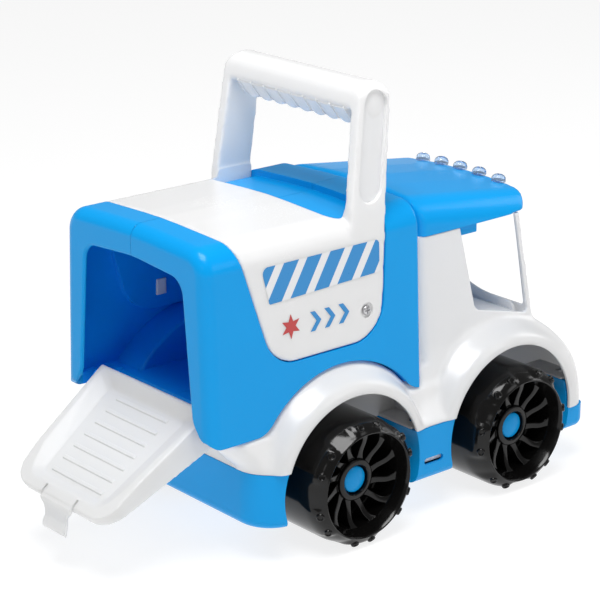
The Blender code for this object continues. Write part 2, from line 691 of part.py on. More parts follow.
def cab_skirt(truck, white):
    band_front = WHEELBASE + ARCH_RADIUS
    shell = blank(prism(skirt_section(0), 'X', SKIRT_REAR, band_front))
    keep(shell, prism([(BASE_REAR, SKIRT_LOW - WALL), (REACH, SKIRT_LOW - WALL), (REACH, SKIRT_TOP + WALL),
                       (SKIRT_REAR, SKIRT_TOP + WALL), (SKIRT_REAR, SKIRT_REAR_EDGE), (BASE_REAR, SKIRT_LOW)],
                      'Y', -REACH, REACH))
    plinth_front = BODY_FRONT - WALL - 2 * CLEARANCE
    add(shell, box((PLINTH_REAR, -PLINTH_HALF, SKIRT_TOP - WALL), (plinth_front, PLINTH_HALF, PLINTH_TOP)))
    cab = blank(prism(cab_section(0, SKIRT_LOW), 'X', CAB_REAR, REACH))
    keep(cab, prism(cab_side(0, SKIRT_LOW - WALL), 'Y', -REACH, REACH))
    combine(shell, cab, 'UNION')
    plan = rounded([(SKIRT_REAR, -BASE_HALF, BASE_CORNER), (REACH, -BASE_HALF, 0), (REACH, BASE_HALF, 0),
                    (SKIRT_REAR, BASE_HALF, BASE_CORNER)])
    keep(shell, prism(plan, 'Z', 0, REACH))
    add(shell, prism(half_disc(FLARE_ROOT_RADIUS - CLEARANCE, APRON_LOW), 'Y', -NOSE_HALF, NOSE_HALF))
    for x in (0.0, WHEELBASE):
        for side in (-1, 1):
            add(shell, flare_solid(x, side))
    cut(shell, box((-REACH, -REACH, -REACH), (WHEELBASE, REACH, SKIRT_LOW)))
    cut(shell, box((-REACH, -REACH, -REACH), (REACH, REACH, APRON_LOW)))
    cut(shell, prism(skirt_section(WALL), 'X', PLINTH_REAR + WALL, band_front))
    cut(shell, box((PLINTH_REAR + WALL, WALL - PLINTH_HALF, SKIRT_LOW),
                   (BODY_FRONT - 2 * WALL, PLINTH_HALF - WALL, PLINTH_TOP - WALL)))
    nose_room = half_disc(FLARE_ROOT_RADIUS - WALL - 2 * CLEARANCE, APRON_LOW - WALL)
    cut(shell, prism(nose_room, 'Y', WALL - NOSE_HALF, NOSE_HALF - WALL))
    for x in (0.0, WHEELBASE):
        for side in (-1, 1):
            cut(shell, flare_room(x, side))
    inside = blank(prism(cab_section(WALL, PLINTH_TOP), 'X', CAB_REAR, REACH))
    keep(inside, prism(cab_side(WALL, PLINTH_TOP - WALL), 'Y', -REACH, REACH))
    cut(inside, prism(half_disc(FLARE_ROOT_RADIUS, SKIRT_LOW), 'Y', -REACH, REACH))
    combine(shell, inside, 'DIFFERENCE')
    cut(shell, prism(window_outline(), 'Y', -REACH, REACH))
    cut(shell, prism(screen_outline(), 'X', WHEELBASE, REACH))
    ear = EAR_INNER + EAR_THICKNESS + CLEARANCE
    cut(shell, box((-REACH, -ear, -REACH), (PLINTH_REAR, ear, REACH)))
    for side in (-1, 1):
        near, far = sorted((side * SPINE_HALF, side * (SPINE_HALF - WALL)))
        add(shell, box((PLINTH_REAR + WALL / 2, near, SKIRT_LOW + CLEARANCE),
                       (BODY_FRONT - 1.5 * WALL, far, PLINTH_TOP - WALL / 2)))
    for x, y in post_places():
        low = SKIRT_LOW if x < 0 else APRON_LOW
        boss = blank(moved(rod(POST_RADIUS, low, PLINTH_TOP - WALL / 2, SCREW_STEPS, 'Z'), x, y))
        if x > 0:
            keep(boss, prism(half_disc(FLARE_ROOT_RADIUS - WALL / 2, APRON_LOW - WALL), 'Y', -REACH, REACH))
        combine(shell, boss, 'UNION')
        cut(shell, moved(rod(SCREW_HOLE_RADIUS, 0, low + POST_ENGAGE, SCREW_STEPS, 'Z'), x, y))
    finish(shell, 'cab_skirt', white, truck)


# Cab roof and its lights


def roof_slope():
    return (ROOF_TOP_REAR - ROOF_TOP_FRONT) / (ROOF_FRONT - ROOF_REAR)


def sloped(bm):
    # Lowers a shape towards the front as the roof falls
    for v in bm.verts:
        v.co.z -= roof_slope() * (v.co.x - ROOF_REAR)
    return bm


def roof_block(inset):
    low = CAB_TOP + CLEARANCE - (WALL if inset else 0)
    top_rear, top_front = ROOF_TOP_REAR - inset, ROOF_TOP_FRONT - inset
    rear, front, half = ROOF_REAR + inset, ROOF_FRONT - inset, ROOF_HALF - inset
    lip = 0 if inset else ROOF_LIP_RADIUS
    side = rounded([(rear, low, 0), (front, low, lip), (front, top_front, ROOF_FRONT_RADIUS - inset),
                    (rear, top_rear, ROOF_REAR_RADIUS - inset)])
    block = blank(prism(side, 'Y', -REACH, REACH))
    section = rounded([(-half, low - WALL, 0), (half, low - WALL, 0),
                       (half - WALL, top_rear - ROOF_CROWN, ROOF_CORNER - inset),
                       (0, top_rear + WALL / 4, CROWN_RADIUS),
                       (WALL - half, top_rear - ROOF_CROWN, ROOF_CORNER - inset)])
    keep(block, sloped(prism(section, 'X', 0, REACH)))
    corner = ROOF_FRONT_EDGE - inset
    keep(block, prism(rounded([(rear - WALL, -half - WALL, 0), (corner, -half - WALL / 10, ROOF_CORNER),
                               (front + WALL, 0, CROWN_RADIUS / 2), (corner, half + WALL / 10, ROOF_CORNER),
                               (rear - WALL, half + WALL, 0)]), 'Z', 0, REACH))
    return block


def light_places():
    # Each light's place on the sloping roof, with the crown taken off towards the sides
    places = []
    for k in range(LIGHT_COUNT):
        y = (k - (LIGHT_COUNT - 1) / 2) * LIGHT_PITCH
        fall = max(WALL / 8, (ROOF_CROWN + WALL / 4) * abs(y) / (ROOF_HALF - WALL) - WALL / 4)
        z = ROOF_TOP_REAR - roof_slope() * (LIGHT_X - ROOF_REAR) - fall
        places.append((LIGHT_X, y, z))
    return places


def cab_roof(truck, blue, clear):
    roof = roof_block(0)
    combine(roof, roof_block(WALL), 'DIFFERENCE')
    tab_half = CAB_HALF_TOP - WALL - 2 * CLEARANCE
    for side in (-1, 1):
        near, far = sorted((side * tab_half, side * (tab_half - WALL)))
        add(roof, box((TAB_REAR, near, CAB_TOP - TAB_DROP), (TAB_REAR + TAB_LENGTH, far, CAB_TOP + TAB_DROP)))
        near, far = sorted((side * (tab_half - WALL / 2), side * (ROOF_HALF - WALL / 2)))
        add(roof, box((TAB_REAR + WALL / 2, near, CAB_TOP + WALL), (TAB_REAR + TAB_LENGTH - WALL / 2, far,
                                                                    CAB_TOP + TAB_DROP - WALL / 2)))
    for x, y, z in light_places():
        cut(roof, moved(rod(LIGHT_PEG_RADIUS + 2 * CLEARANCE, -REACH, REACH, LIGHT_STEPS, 'Z'), x, y))
    finish(roof, 'cab_roof', blue, truck)
    base = 2 * CLEARANCE
    dome = [(0, base - LIGHT_PEG_LENGTH), (LIGHT_PEG_RADIUS, base - LIGHT_PEG_LENGTH),
            (LIGHT_PEG_RADIUS, base), (LIGHT_RADIUS, base), (LIGHT_RADIUS, base + LIGHT_HEIGHT * 0.35)]
    for k in range(1, 3):
        angle = k * math.pi / 6
        dome.append((LIGHT_RADIUS * math.cos(angle), base + LIGHT_HEIGHT * (0.35 + 0.65 * math.sin(angle))))
    dome.append((0, base + LIGHT_HEIGHT))
    for k, (x, y, z) in enumerate(light_places(), 1):
        obj = finish(blank(upright(turned(dome, LIGHT_STEPS))), f'roof_light_{k}', clear, truck)
        obj.location = (x, y, z)
        obj.rotation_euler = (0, math.atan(roof_slope()), 0)


# Van body


def body_half(z):
    share = (z - BODY_BOTTOM) / (BODY_TOP - BODY_BOTTOM)
    return BODY_HALF_LOW + (BODY_HALF_HIGH - BODY_HALF_LOW) * share


def body_section(inset, floor):
    shoulder = BODY_TOP - BODY_CROWN - inset
    low, high = body_half(floor) - inset, body_half(shoulder) - inset
    radius = BODY_CORNER - inset
    return rounded([(-low, floor, 0), (low, floor, 0), (high, shoulder, radius),
                    (0, BODY_TOP - inset, CROWN_RADIUS), (-high, shoulder, radius)])


def body_block(inset, floor):
    rear, front = BODY_REAR + inset, BODY_FRONT - inset
    bm = prism(body_section(inset, floor), 'X', rear, front)
    soften(bm, lambda co: co.x < rear + 1e-5 and (co.z > floor + 1e-5 or abs(co.y) > SPINE_HALF),
           BODY_REAR_EDGE - inset, 4)
    return bm


def saddle_outline(grow):
    # The saddle seen from the side, open above the roof
    top = HANDLE_TOP + SADDLE_DEPTH
    rise = top - SADDLE_LOW
    rear, front = SADDLE_REAR_LOW - grow, SADDLE_FRONT_LOW + grow
    return rounded([(rear - SADDLE_REAR_LEAN * rise, top, 0), (rear, SADDLE_LOW - grow, SADDLE_RADIUS + grow),
                    (front, SADDLE_LOW - grow, SADDLE_RADIUS + grow),
                    (front + SADDLE_FRONT_LEAN * rise, top, 0)])


def arch_outline(radius, base, fillet):
    # A wheel arch over the rear axle that runs out into a level edge with rounded corners
    rise = base - WHEEL_RADIUS
    centre_x = math.sqrt((radius + fillet) ** 2 - (rise + fillet) ** 2)
    tilt = math.atan2(rise + fillet, centre_x)
    steps = 6
    corner = []
    for k in range(steps + 1):
        angle = -math.pi / 2 - (math.pi / 2 - tilt) * k / steps
        corner.append((centre_x + fillet * math.cos(angle), base + fillet + fillet * math.sin(angle)))
    arc_steps = ARCH_STEPS // 2
    arc = []
    for k in range(1, arc_steps):
        angle = tilt + (math.pi - 2 * tilt) * k / arc_steps
        arc.append((radius * math.cos(angle), WHEEL_RADIUS + radius * math.sin(angle)))
    left = [(-x, z) for x, z in reversed(corner)]
    low = base - WALL * 4
    return [(centre_x, low)] + corner + arc + left + [(-centre_x, low)]


def opening_outline():
    half = OPENING_HALF_LOW
    side = [(LEG_CUT_HALF, BODY_BOTTOM - WALL, 0), (LEG_CUT_HALF, BODY_BOTTOM, 0),
            (half, LEG_CUT_TOP, LEG_CUT_RADIUS),
            (OPENING_HALF_TOP, OPENING_TOP - OPENING_CROWN, OPENING_CORNER)]
    return rounded([(-y, z, r) for y, z, r in side] + [(0, OPENING_TOP, CROWN_RADIUS / 4)]
                   + [(y, z, r) for y, z, r in reversed(side)])


def bulge(radius, inner, outer, side):
    # A barrel over one rear arch, from the wall in to its flat end
    low, high = sorted((side * inner, side * outer))
    outline = arch_outline(radius, BODY_BOTTOM, ARCH_FILLET / 8)
    return prism(outline, 'Y', low, high)


def van_body(truck, blue):
    grow = SADDLE_PLAY
    shell = blank(body_block(0, BODY_BOTTOM))
    recess = blank(prism(saddle_outline(grow), 'Y', -REACH, REACH))
    cut(recess, prism(body_section(SADDLE_DEPTH, SADDLE_LOW - SADDLE_RADIUS), 'X', -REACH, REACH))
    combine(shell, recess, 'DIFFERENCE')
    hold = blank(body_block(WALL, FLOOR_TOP))
    backing = blank(prism(saddle_outline(grow + WALL), 'Y', -REACH, REACH))
    cut(backing, prism(body_section(SADDLE_DEPTH + WALL, SADDLE_LOW - SADDLE_RADIUS), 'X', -REACH, REACH))
    combine(hold, backing, 'DIFFERENCE')
    for side in (-1, 1):
        cut(hold, bulge(BULGE_RADIUS, BULGE_HALF, REACH, side))
        near, far = sorted((side * (body_half(SADDLE_SCREW_Z) - BOSS_LENGTH), side * REACH))
        cut(hold, moved(rod(BOSS_RADIUS, near, far, SCREW_STEPS), SADDLE_SCREW_X, 0, SADDLE_SCREW_Z))
    combine(shell, hold, 'DIFFERENCE')
    under = body_half(BODY_BOTTOM) - WALL
    cut(shell, box((BODY_REAR + WALL, -under, -REACH), (BODY_FRONT - WALL, under, FLOOR_TOP - WALL)))
    cut(shell, box((BODY_REAR + WALL, -under, -REACH), (PLINTH_REAR, under, FLOOR_TOP + WALL)))
    for side in (-1, 1):
        cut(shell, bulge(BULGE_RADIUS - WALL, BULGE_HALF + WALL, FLARE_ROOT_HALF - 2 * WALL, side))
        near, far = sorted((side * (FLARE_ROOT_HALF - WALL * 2), side * REACH))
        arch = arch_outline(FLARE_ROOT_RADIUS + CLEARANCE, BODY_BOTTOM, ARCH_FILLET)
        cut(shell, prism(arch, 'Y', near, far))
    cut(shell, prism(opening_outline(), 'X', -REACH, BODY_REAR + 2 * WALL))
    for side in (-1, 1):
        near, far = sorted((side * EAR_INNER, side * (EAR_INNER + EAR_THICKNESS)))
        foot, sole = PLINTH_REAR - CLEARANCE, FLOOR_TOP - WALL / 2
        ear = rounded([(PIVOT_X - EAR_RADIUS, BODY_BOTTOM, 0), (foot, BODY_BOTTOM, 0), (foot, sole, 0),
                       (PLINTH_REAR + WALL, sole, 0), (PLINTH_REAR + WALL, FLOOR_TOP + WALL / 2, 0),
                       (EAR_FRONT, FLOOR_TOP + WALL / 2, 0), (EAR_FRONT, PIVOT_Z + EAR_RADIUS, EAR_RADIUS * 0.9),
                       (PIVOT_X - EAR_RADIUS, PIVOT_Z + EAR_RADIUS, EAR_RADIUS * 0.9)])
        add(shell, prism(ear, 'Y', near, far))
        near, far = sorted((0, side * REACH))
        cut(shell, moved(rod(SCREW_HOLE_RADIUS, near, far, SCREW_STEPS), SADDLE_SCREW_X, 0, SADDLE_SCREW_Z))
    reach = EAR_INNER + 2 * EAR_THICKNESS
    cut(shell, moved(rod(PIN_RADIUS + CLEARANCE, -reach, reach, SCREW_STEPS), PIVOT_X, 0, PIVOT_Z))
    for name, sign in (('body_left', 1), ('body_right', -1)):
        half = blank(bmesh_of(shell))
        low, high = sorted((sign * SEAM / 2, sign * REACH))
        keep(half, box((-REACH, low, -REACH), (REACH, high, REACH)))
        finish(half, name, blue, truck)
    bpy.data.objects.remove(shell)


def bmesh_of(obj):
    bm = bmesh.new()
    bm.from_mesh(obj.data)
    return bm


# Saddle with its handle


def leg_outline():
    low = BODY_TOP - BODY_CORNER - BODY_CROWN
    lean = (LEG_REAR_HIGH - LEG_REAR_LOW) / (GRIP_UNDERSIDE - BODY_TOP)
    front = SADDLE_FRONT_LOW + SADDLE_FRONT_LEAN * (BODY_TOP - SADDLE_LOW)
    front_low = SADDLE_FRONT_LOW + SADDLE_FRONT_LEAN * (low - SADDLE_LOW)
    top_rear = LEG_REAR_HIGH + lean * (HANDLE_TOP - GRIP_UNDERSIDE)
    top_front = LEG_FRONT_HIGH + lean * GRIP_DEPTH / 2
    return rounded([(LEG_REAR_LOW, low, 0), (front_low, low, 0), (front, BODY_TOP, 0),
                    (LEG_FRONT_HIGH, GRIP_UNDERSIDE, LEG_BEND), (top_front, HANDLE_TOP, GRIP_EDGE),
                    (top_rear, HANDLE_TOP, GRIP_EDGE), (LEG_REAR_HIGH, GRIP_UNDERSIDE, LEG_BEND),
                    (LEG_REAR_LOW, BODY_TOP, 0)]), low


def loop_outline():
    # The opening between the legs, which the grip then closes
    low = LEG_HALF_LOW - LEG_THICKNESS
    high = LEG_HALF_HIGH - LEG_THICKNESS
    return [(-low, BODY_TOP), (low, BODY_TOP), (high, HANDLE_TOP + WALL), (-high, HANDLE_TOP + WALL)]


def grip_bar():
    # A round-topped bar that runs into both legs
    lean = (LEG_REAR_HIGH - LEG_REAR_LOW) / (GRIP_UNDERSIDE - BODY_TOP)
    rear, front = LEG_REAR_HIGH + GRIP_INSET, LEG_FRONT_HIGH - GRIP_INSET
    top = HANDLE_TOP - GRIP_INSET
    shift = lean * (top - GRIP_UNDERSIDE)
    end = LEG_HALF_HIGH - LEG_THICKNESS / 2
    edge = GRIP_EDGE - GRIP_INSET
    return prism(rounded([(rear, GRIP_UNDERSIDE, GRIP_LOWER_EDGE), (front, GRIP_UNDERSIDE, GRIP_LOWER_EDGE),
                          (front + shift / 2, top, edge), (rear + shift, top, edge)]), 'Y', -end, end)


def finger_row():
    # Round finger rests side by side under the grip
    half = LEG_HALF_HIGH - LEG_THICKNESS - GRIP_EDGE / 2
    pitch = 2 * half / SCALLOPS
    base = GRIP_UNDERSIDE - SCALLOP_DROP + SCALLOP_DEPTH
    points = [(half, GRIP_UNDERSIDE + WALL), (-half, GRIP_UNDERSIDE + WALL)]
    for k in range(SCALLOPS):
        for j in range(SCALLOP_STEPS):
            share = j / SCALLOP_STEPS
            points.append((-half + pitch * (k + share), base - SCALLOP_DEPTH * math.sin(math.pi * share)))
    points.append((half, base))
    return prism(points, 'X', LEG_REAR_HIGH + SCALLOP_INSET, LEG_FRONT_HIGH - SCALLOP_INSET)


def leg_slot():
    # The long round-ended hollow in the outer face of a leg, leaning with it
    half = LEG_SLOT_WIDTH / 2
    lean = (LEG_REAR_HIGH - LEG_REAR_LOW) / (GRIP_UNDERSIDE - BODY_TOP)
    front = SADDLE_FRONT_LOW + SADDLE_FRONT_LEAN * (BODY_TOP - SADDLE_LOW)
    middle = (LEG_REAR_LOW + front) / 2
    low = middle + lean * (LEG_SLOT_LOW - BODY_TOP)
    high = middle + lean * (LEG_SLOT_HIGH - BODY_TOP)
    radius = half * 0.98
    return rounded([(low - half, LEG_SLOT_LOW, radius), (low + half, LEG_SLOT_LOW, radius),
                    (high + half, LEG_SLOT_HIGH, radius), (high - half, LEG_SLOT_HIGH, radius)])


def saddle_handle(truck, white, steel):
    skin = blank(prism(saddle_outline(0), 'Y', -REACH, REACH))
    keep(skin, prism(body_section(0, SADDLE_LOW - SADDLE_RADIUS), 'X', -REACH, REACH))
    under = body_section(SADDLE_DEPTH - CLEARANCE, SADDLE_LOW - 2 * SADDLE_RADIUS)
    cut(skin, prism(under, 'X', -REACH, REACH))
    outline, low = leg_outline()
    legs = blank(prism(outline, 'Y', -REACH, REACH))
    keep(legs, prism(rounded([(-LEG_HALF_LOW, low, 0), (LEG_HALF_LOW, low, 0),
                              (LEG_HALF_HIGH, HANDLE_TOP, GRIP_EDGE),
                              (-LEG_HALF_HIGH, HANDLE_TOP, GRIP_EDGE)]), 'X', -REACH, REACH))
    cut(legs, prism(body_section(SADDLE_DEPTH - 2 * CLEARANCE, SADDLE_LOW), 'X', -REACH, REACH))
    combine(skin, legs, 'UNION')
    inner = LEG_HALF_LOW - LEG_THICKNESS
    front = rounded([(SADDLE_TOP_FRONT, -inner, LEG_FOOT_RADIUS), (REACH, -inner, 0), (REACH, inner, 0),
                     (SADDLE_TOP_FRONT, inner, LEG_FOOT_RADIUS)])
    cut(skin, prism(front, 'Z', SADDLE_LOW, BODY_TOP + 2 * WALL), prism(loop_outline(), 'X', -REACH, REACH))
    add(skin, grip_bar(), finger_row())
    for side in (-1, 1):
        share = (LEG_SLOT_LOW + LEG_SLOT_HIGH) / 2
        face = LEG_HALF_LOW + (LEG_HALF_HIGH - LEG_HALF_LOW) * (share - low) / (HANDLE_TOP - low)
        near, far = sorted((side * (face - LEG_SLOT_DEPTH), side * REACH))
        cut(skin, prism(leg_slot(), 'Y', near, far))
        seat = body_half(SADDLE_SCREW_Z) - SADDLE_SCREW_RECESS
        near, far = sorted((side * seat, side * REACH))
        cut(skin, moved(rod(SADDLE_SCREW_RING, near, far, LIGHT_STEPS), SADDLE_SCREW_X, 0, SADDLE_SCREW_Z))
        near, far = sorted((0, side * REACH))
        cut(skin, moved(rod(SCREW_HOLE_RADIUS, near, far, SCREW_STEPS), SADDLE_SCREW_X, 0, SADDLE_SCREW_Z))
        tip = body_half(SADDLE_SCREW_Z) - BOSS_LENGTH + WALL
        head = seat + CLEARANCE
        crest = head + SCREW_HEAD_HEIGHT
        screw = turned([(0, tip), (SCREW_SHANK_RADIUS, tip), (SCREW_SHANK_RADIUS, head),
                        (SCREW_HEAD_RADIUS, head), (SCREW_HEAD_RADIUS, head + SCREW_HEAD_HEIGHT / 2),
                        (SCREW_HEAD_RADIUS / 2, crest), (0, crest)], SCREW_STEPS)
        name = 'saddle_screw_left' if side > 0 else 'saddle_screw_right'
        obj = finish(blank(screw if side > 0 else mirrored(screw)), name, steel, truck)
        obj.location = (SADDLE_SCREW_X, 0, SADDLE_SCREW_Z)
    finish(skin, 'saddle_handle', white, truck)


# Tailgate


def gate_outline(inset):
    heel, tip = GATE_HALF_HEEL - inset, GATE_HALF_TIP - inset
    radius = GATE_TIP_RADIUS - inset
    return rounded([(-GATE_HEEL - inset, -heel, 0), (-GATE_HEEL - inset, heel, 0),
                    (-GATE_TIP + inset, tip, radius), (-GATE_TIP + inset, -tip, radius)])


def gate_outer(s):
    return GATE_OUTER_HEEL + GATE_OUTER_SLOPE * s


def tailgate(truck, white):
    block = blank(prism(gate_outline(0), 'Z', -REACH, REACH))
    knee = GATE_FLOOR_END - GATE_TIP_RADIUS
    side = [(GATE_HEEL, GATE_RIM, 0.002), (knee, GATE_RIM, 0.03), (GATE_TIP, GATE_TIP_RIM, 0.002),
            (GATE_TIP, gate_outer(GATE_TIP), 0.002), (0, gate_outer(0), 0.006), (GATE_HEEL, 0, 0.004)]
    keep(block, prism(rounded([(-s, n, r) for s, n, r in side]), 'Y', -REACH, REACH))
    rim_heel, rim_tip = GATE_HALF_HEEL - GATE_RIM_WALL, GATE_HALF_TIP - GATE_RIM_WALL
    floor = [(REACH / 4, -GATE_FLOOR_HALF), (REACH / 4, GATE_FLOOR_HALF),
             (-GATE_FLOOR_END, GATE_FLOOR_TIP_HALF), (-GATE_FLOOR_END, -GATE_FLOOR_TIP_HALF)]
    rim_end = GATE_TIP - GATE_RIM_WALL
    rim = [(REACH / 4, -rim_heel), (REACH / 4, rim_heel), (-rim_end, rim_tip - GATE_RIM_WALL),
           (-rim_end, GATE_RIM_WALL - rim_tip)]
    cut(block, loft(floor, GATE_FLOOR, rim, GATE_RIM + WALL / 4))
    under = blank(prism(gate_outline(GATE_RIM_WALL), 'Z', -REACH, GATE_FLOOR - GATE_PANEL))
    heel = PIN_RADIUS * 3
    cut(under, box((-heel, -REACH, -REACH), (-GATE_HEEL, REACH, REACH)),
        box((-REACH, -REACH, -REACH), (-GATE_FLOOR_END, REACH, REACH)))
    combine(block, under, 'DIFFERENCE')
    for k in range(GATE_RIBS):
        s = GATE_RIB_FIRST + k * GATE_RIB_PITCH
        add(block, box((-s - GATE_RIB_WIDTH / 2, -GATE_RIB_HALF, GATE_FLOOR - GATE_PANEL / 2),
                       (-s + GATE_RIB_WIDTH / 2, GATE_RIB_HALF, GATE_FLOOR + GATE_RIB_HEIGHT)))
    root = GATE_TIP - GATE_RIM_WALL
    for hand in (-1, 1):
        near, far = sorted((hand * TONGUE_ROOT_HALF, hand * (TONGUE_ROOT_HALF + TONGUE_SLIT)))
        cut(block, box((-REACH, near, -REACH), (-root + GATE_RIM_WALL * 1.5, far, REACH)))
    level = GATE_TIP_RIM - TONGUE_THICKNESS
    drop = Vector((math.cos(TONGUE_DROP), -math.sin(TONGUE_DROP))) * TONGUE_LENGTH
    thick = Vector((math.sin(TONGUE_DROP), math.cos(TONGUE_DROP))) * TONGUE_THICKNESS
    start = Vector((GATE_TIP - GATE_RIM_WALL, level))
    flap = [start, start + drop, start + drop + thick, start + thick]
    plate = blank(prism([(-s, n) for s, n in flap], 'Y', -REACH, REACH))
    end = GATE_TIP + drop.x
    keep(plate, prism([(-root + WALL, -TONGUE_ROOT_HALF), (-root + WALL, TONGUE_ROOT_HALF),
                       (-end - WALL, TONGUE_END_HALF), (-end - WALL, -TONGUE_END_HALF)], 'Z', -REACH, REACH))
    combine(block, plate, 'UNION')
    for hand in (-1, 1):
        near, far = sorted((hand * (GATE_HALF_HEEL - GATE_RIM_WALL), hand * (GATE_HALF_HEEL + PIN_LENGTH)))
        add(block, rod(PIN_RADIUS, near, far, SCREW_STEPS))
    gate = finish(block, 'tailgate', white, truck)
    gate.location = (PIVOT_X, 0, PIVOT_Z)
    gate.rotation_euler = (0, -OPEN_SLOPE, 0)


def main():
    for obj in list(bpy.data.objects):
        bpy.data.objects.remove(obj)
    blue = material('blue plastic', (0.011, 0.332, 0.791), 0.28)
    white = material('white plastic', (0.80, 0.79, 0.79), 0.30)
    black = material('black plastic', (0.010, 0.010, 0.011), 0.22)
    clear = material('clear plastic', (0.55, 0.70, 0.90), 0.10)
    steel = material('steel', (0.60, 0.60, 0.60), 0.30, 1.0)
    truck = empty('truck', (-MID_X, 0, 0))
    chassis(truck, blue, steel)
    cab_skirt(truck, white)
    van_body(truck, blue)
    saddle_handle(truck, white, steel)
    cab_roof(truck, blue, clear)
    tailgate(truck, white)
    wheels(truck, black, blue, steel)


main()
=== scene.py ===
import json
import math

import bmesh
import bpy
from mathutils import Matrix, Vector


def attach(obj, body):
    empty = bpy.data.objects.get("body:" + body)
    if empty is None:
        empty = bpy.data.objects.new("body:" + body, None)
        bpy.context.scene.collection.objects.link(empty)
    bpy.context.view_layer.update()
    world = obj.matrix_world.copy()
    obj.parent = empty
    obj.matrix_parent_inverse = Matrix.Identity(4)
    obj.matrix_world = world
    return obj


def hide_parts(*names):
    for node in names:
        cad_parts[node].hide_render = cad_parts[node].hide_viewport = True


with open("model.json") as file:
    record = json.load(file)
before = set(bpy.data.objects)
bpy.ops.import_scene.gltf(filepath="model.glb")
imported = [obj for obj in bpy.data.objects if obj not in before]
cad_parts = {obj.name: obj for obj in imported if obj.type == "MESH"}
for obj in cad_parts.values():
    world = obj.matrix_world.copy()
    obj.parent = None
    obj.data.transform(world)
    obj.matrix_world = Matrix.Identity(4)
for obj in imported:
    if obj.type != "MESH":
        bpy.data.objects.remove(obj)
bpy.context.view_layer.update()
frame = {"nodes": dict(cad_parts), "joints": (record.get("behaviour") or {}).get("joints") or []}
jointPlace = {j["name"]: Vector(j["pos_m"]) for j in frame["joints"]}
rearAxle = jointPlace["wheel_rear_left_roll"]

# Everything below is drawn in millimetres: x forward from the rear axle, y to the left, z up
truck = {
    "wall": 2.0, "gap": 0.3, "wheelbase": 134.4, "wheelRadius": 40.0, "baseRear": -70.0, "baseFront": 205.0,
    "baseHalf": 84.5, "baseLow": 22.0, "baseTop": 57.5, "apronLow": 38.5, "bodyRear": -100.0,
    "bodyFront": 65.0, "bodyLow": 80.0, "bodyTop": 200.0, "bodyHalfLow": 73.0, "bodyHalfHigh": 67.6,
    "bodyCrown": 3.0, "bodyCorner": 16.0, "crown": 400.0, "archRadius": 53.6, "flareRoot": 70.2,
    "far": 300.0}
axles = (0.0, truck["wheelbase"])
bothSides = (("left", 1), ("right", -1))


# Camera and light

cameraView = {"lens": 126.35, "place": (-0.80245, -0.9510, 0.5444), "turn": (71.47, 0.0, -40.39)}
camera = bpy.data.objects.new("camera", bpy.data.cameras.new("camera"))
camera.data.lens = cameraView["lens"]
camera.location = cameraView["place"]
camera.rotation_euler = [math.radians(a) for a in cameraView["turn"]]
bpy.context.collection.objects.link(camera)
bpy.context.scene.camera = camera

studio = {"sky": 0.24, "lamps": (
    # name, place, aims at, size, watts
    ("topBox", (-0.35, -0.3, 1.5), (0.0, 0.0, 0.1), 0.8, 21.0),
    ("sideBox", (0.75, -1.5, 0.8), (0.0, 0.0, 0.12), 0.6, 2.0),
    ("rearBox", (-1.5, -0.9, 0.9), (0.0, 0.0, 0.12), 0.3, 0.4),
    ("frontBox", (1.3, -0.3, 0.7), (0.1, 0.0, 0.12), 0.6, 3.0))}
bpy.context.scene.view_settings.view_transform = "Standard"
sky = bpy.data.worlds.new("studio")
sky.use_nodes = True
sky.node_tree.nodes["Background"].inputs["Color"].default_value = (1, 1, 1, 1)
sky.node_tree.nodes["Background"].inputs["Strength"].default_value = studio["sky"]
bpy.context.scene.world = sky
for lampName, lampPlace, lampAim, lampSize, lampWatts in studio["lamps"]:
    lamp = bpy.data.objects.new(lampName, bpy.data.lights.new(lampName, "AREA"))
    lamp.data.shape = "SQUARE"
    lamp.data.size = lampSize
    lamp.data.energy = lampWatts
    lamp.location = lampPlace
    lamp.rotation_euler = (Vector(lampAim) - Vector(lampPlace)).to_track_quat("-Z", "Y").to_euler()
    bpy.context.collection.objects.link(lamp)
print("camera and lamps set")


# Shader wiring

class Wire:
    def __init__(self, finish, socket):
        self.finish, self.socket = finish, socket

    def math(self, operation, other, swap=False):
        first, second = (other, self) if swap else (self, other)
        return self.finish.node("ShaderNodeMath", {"operation": operation}, {0: first, 1: second})

    def __add__(self, other):
        return self.math("ADD", other)

    def __radd__(self, other):
        return self.math("ADD", other, True)

    def __sub__(self, other):
        return self.math("SUBTRACT", other)

    def __rsub__(self, other):
        return self.math("SUBTRACT", other, True)

    def __mul__(self, other):
        return self.math("MULTIPLY", other)

    def __rmul__(self, other):
        return self.math("MULTIPLY", other, True)

    def __gt__(self, other):
        return self.math("GREATER_THAN", other)

    def __lt__(self, other):
        return self.math("LESS_THAN", other)

    def __mod__(self, other):
        return self.math("FLOORED_MODULO", other)


class Finish:
    def __init__(self, name, **fixed):
        self.material = bpy.data.materials.new(name)
        self.material.use_nodes = True
        self.tree = self.material.node_tree
        self.shader = self.tree.nodes["Principled BSDF"]
        for socket, value in fixed.items():
            self.shader.inputs[socket.replace("_", " ")].default_value = value
        self.place = self.node("ShaderNodeTexCoord", output="Object")

    def node(self, kind, settings=None, inputs=None, output=0):
        made = self.tree.nodes.new(kind)
        for key, value in (settings or {}).items():
            setattr(made, key, value)
        for key, value in (inputs or {}).items():
            if isinstance(value, Wire):
                self.tree.links.new(value.socket, made.inputs[key])
            else:
                made.inputs[key].default_value = value
        return Wire(self, made.outputs[output])

    def noise(self, scale, detail=2.0, output="Fac"):
        inputs = {"Vector": self.place, "Scale": scale, "Detail": detail}
        return self.node("ShaderNodeTexNoise", {}, inputs, output)

    def blend(self, factor, first, second):
        return self.node("ShaderNodeMix", {"data_type": "RGBA"}, {0: factor, 6: first, 7: second}, 2)

    def feed(self, socket, wire):
        self.tree.links.new(wire.socket, self.shader.inputs[socket])


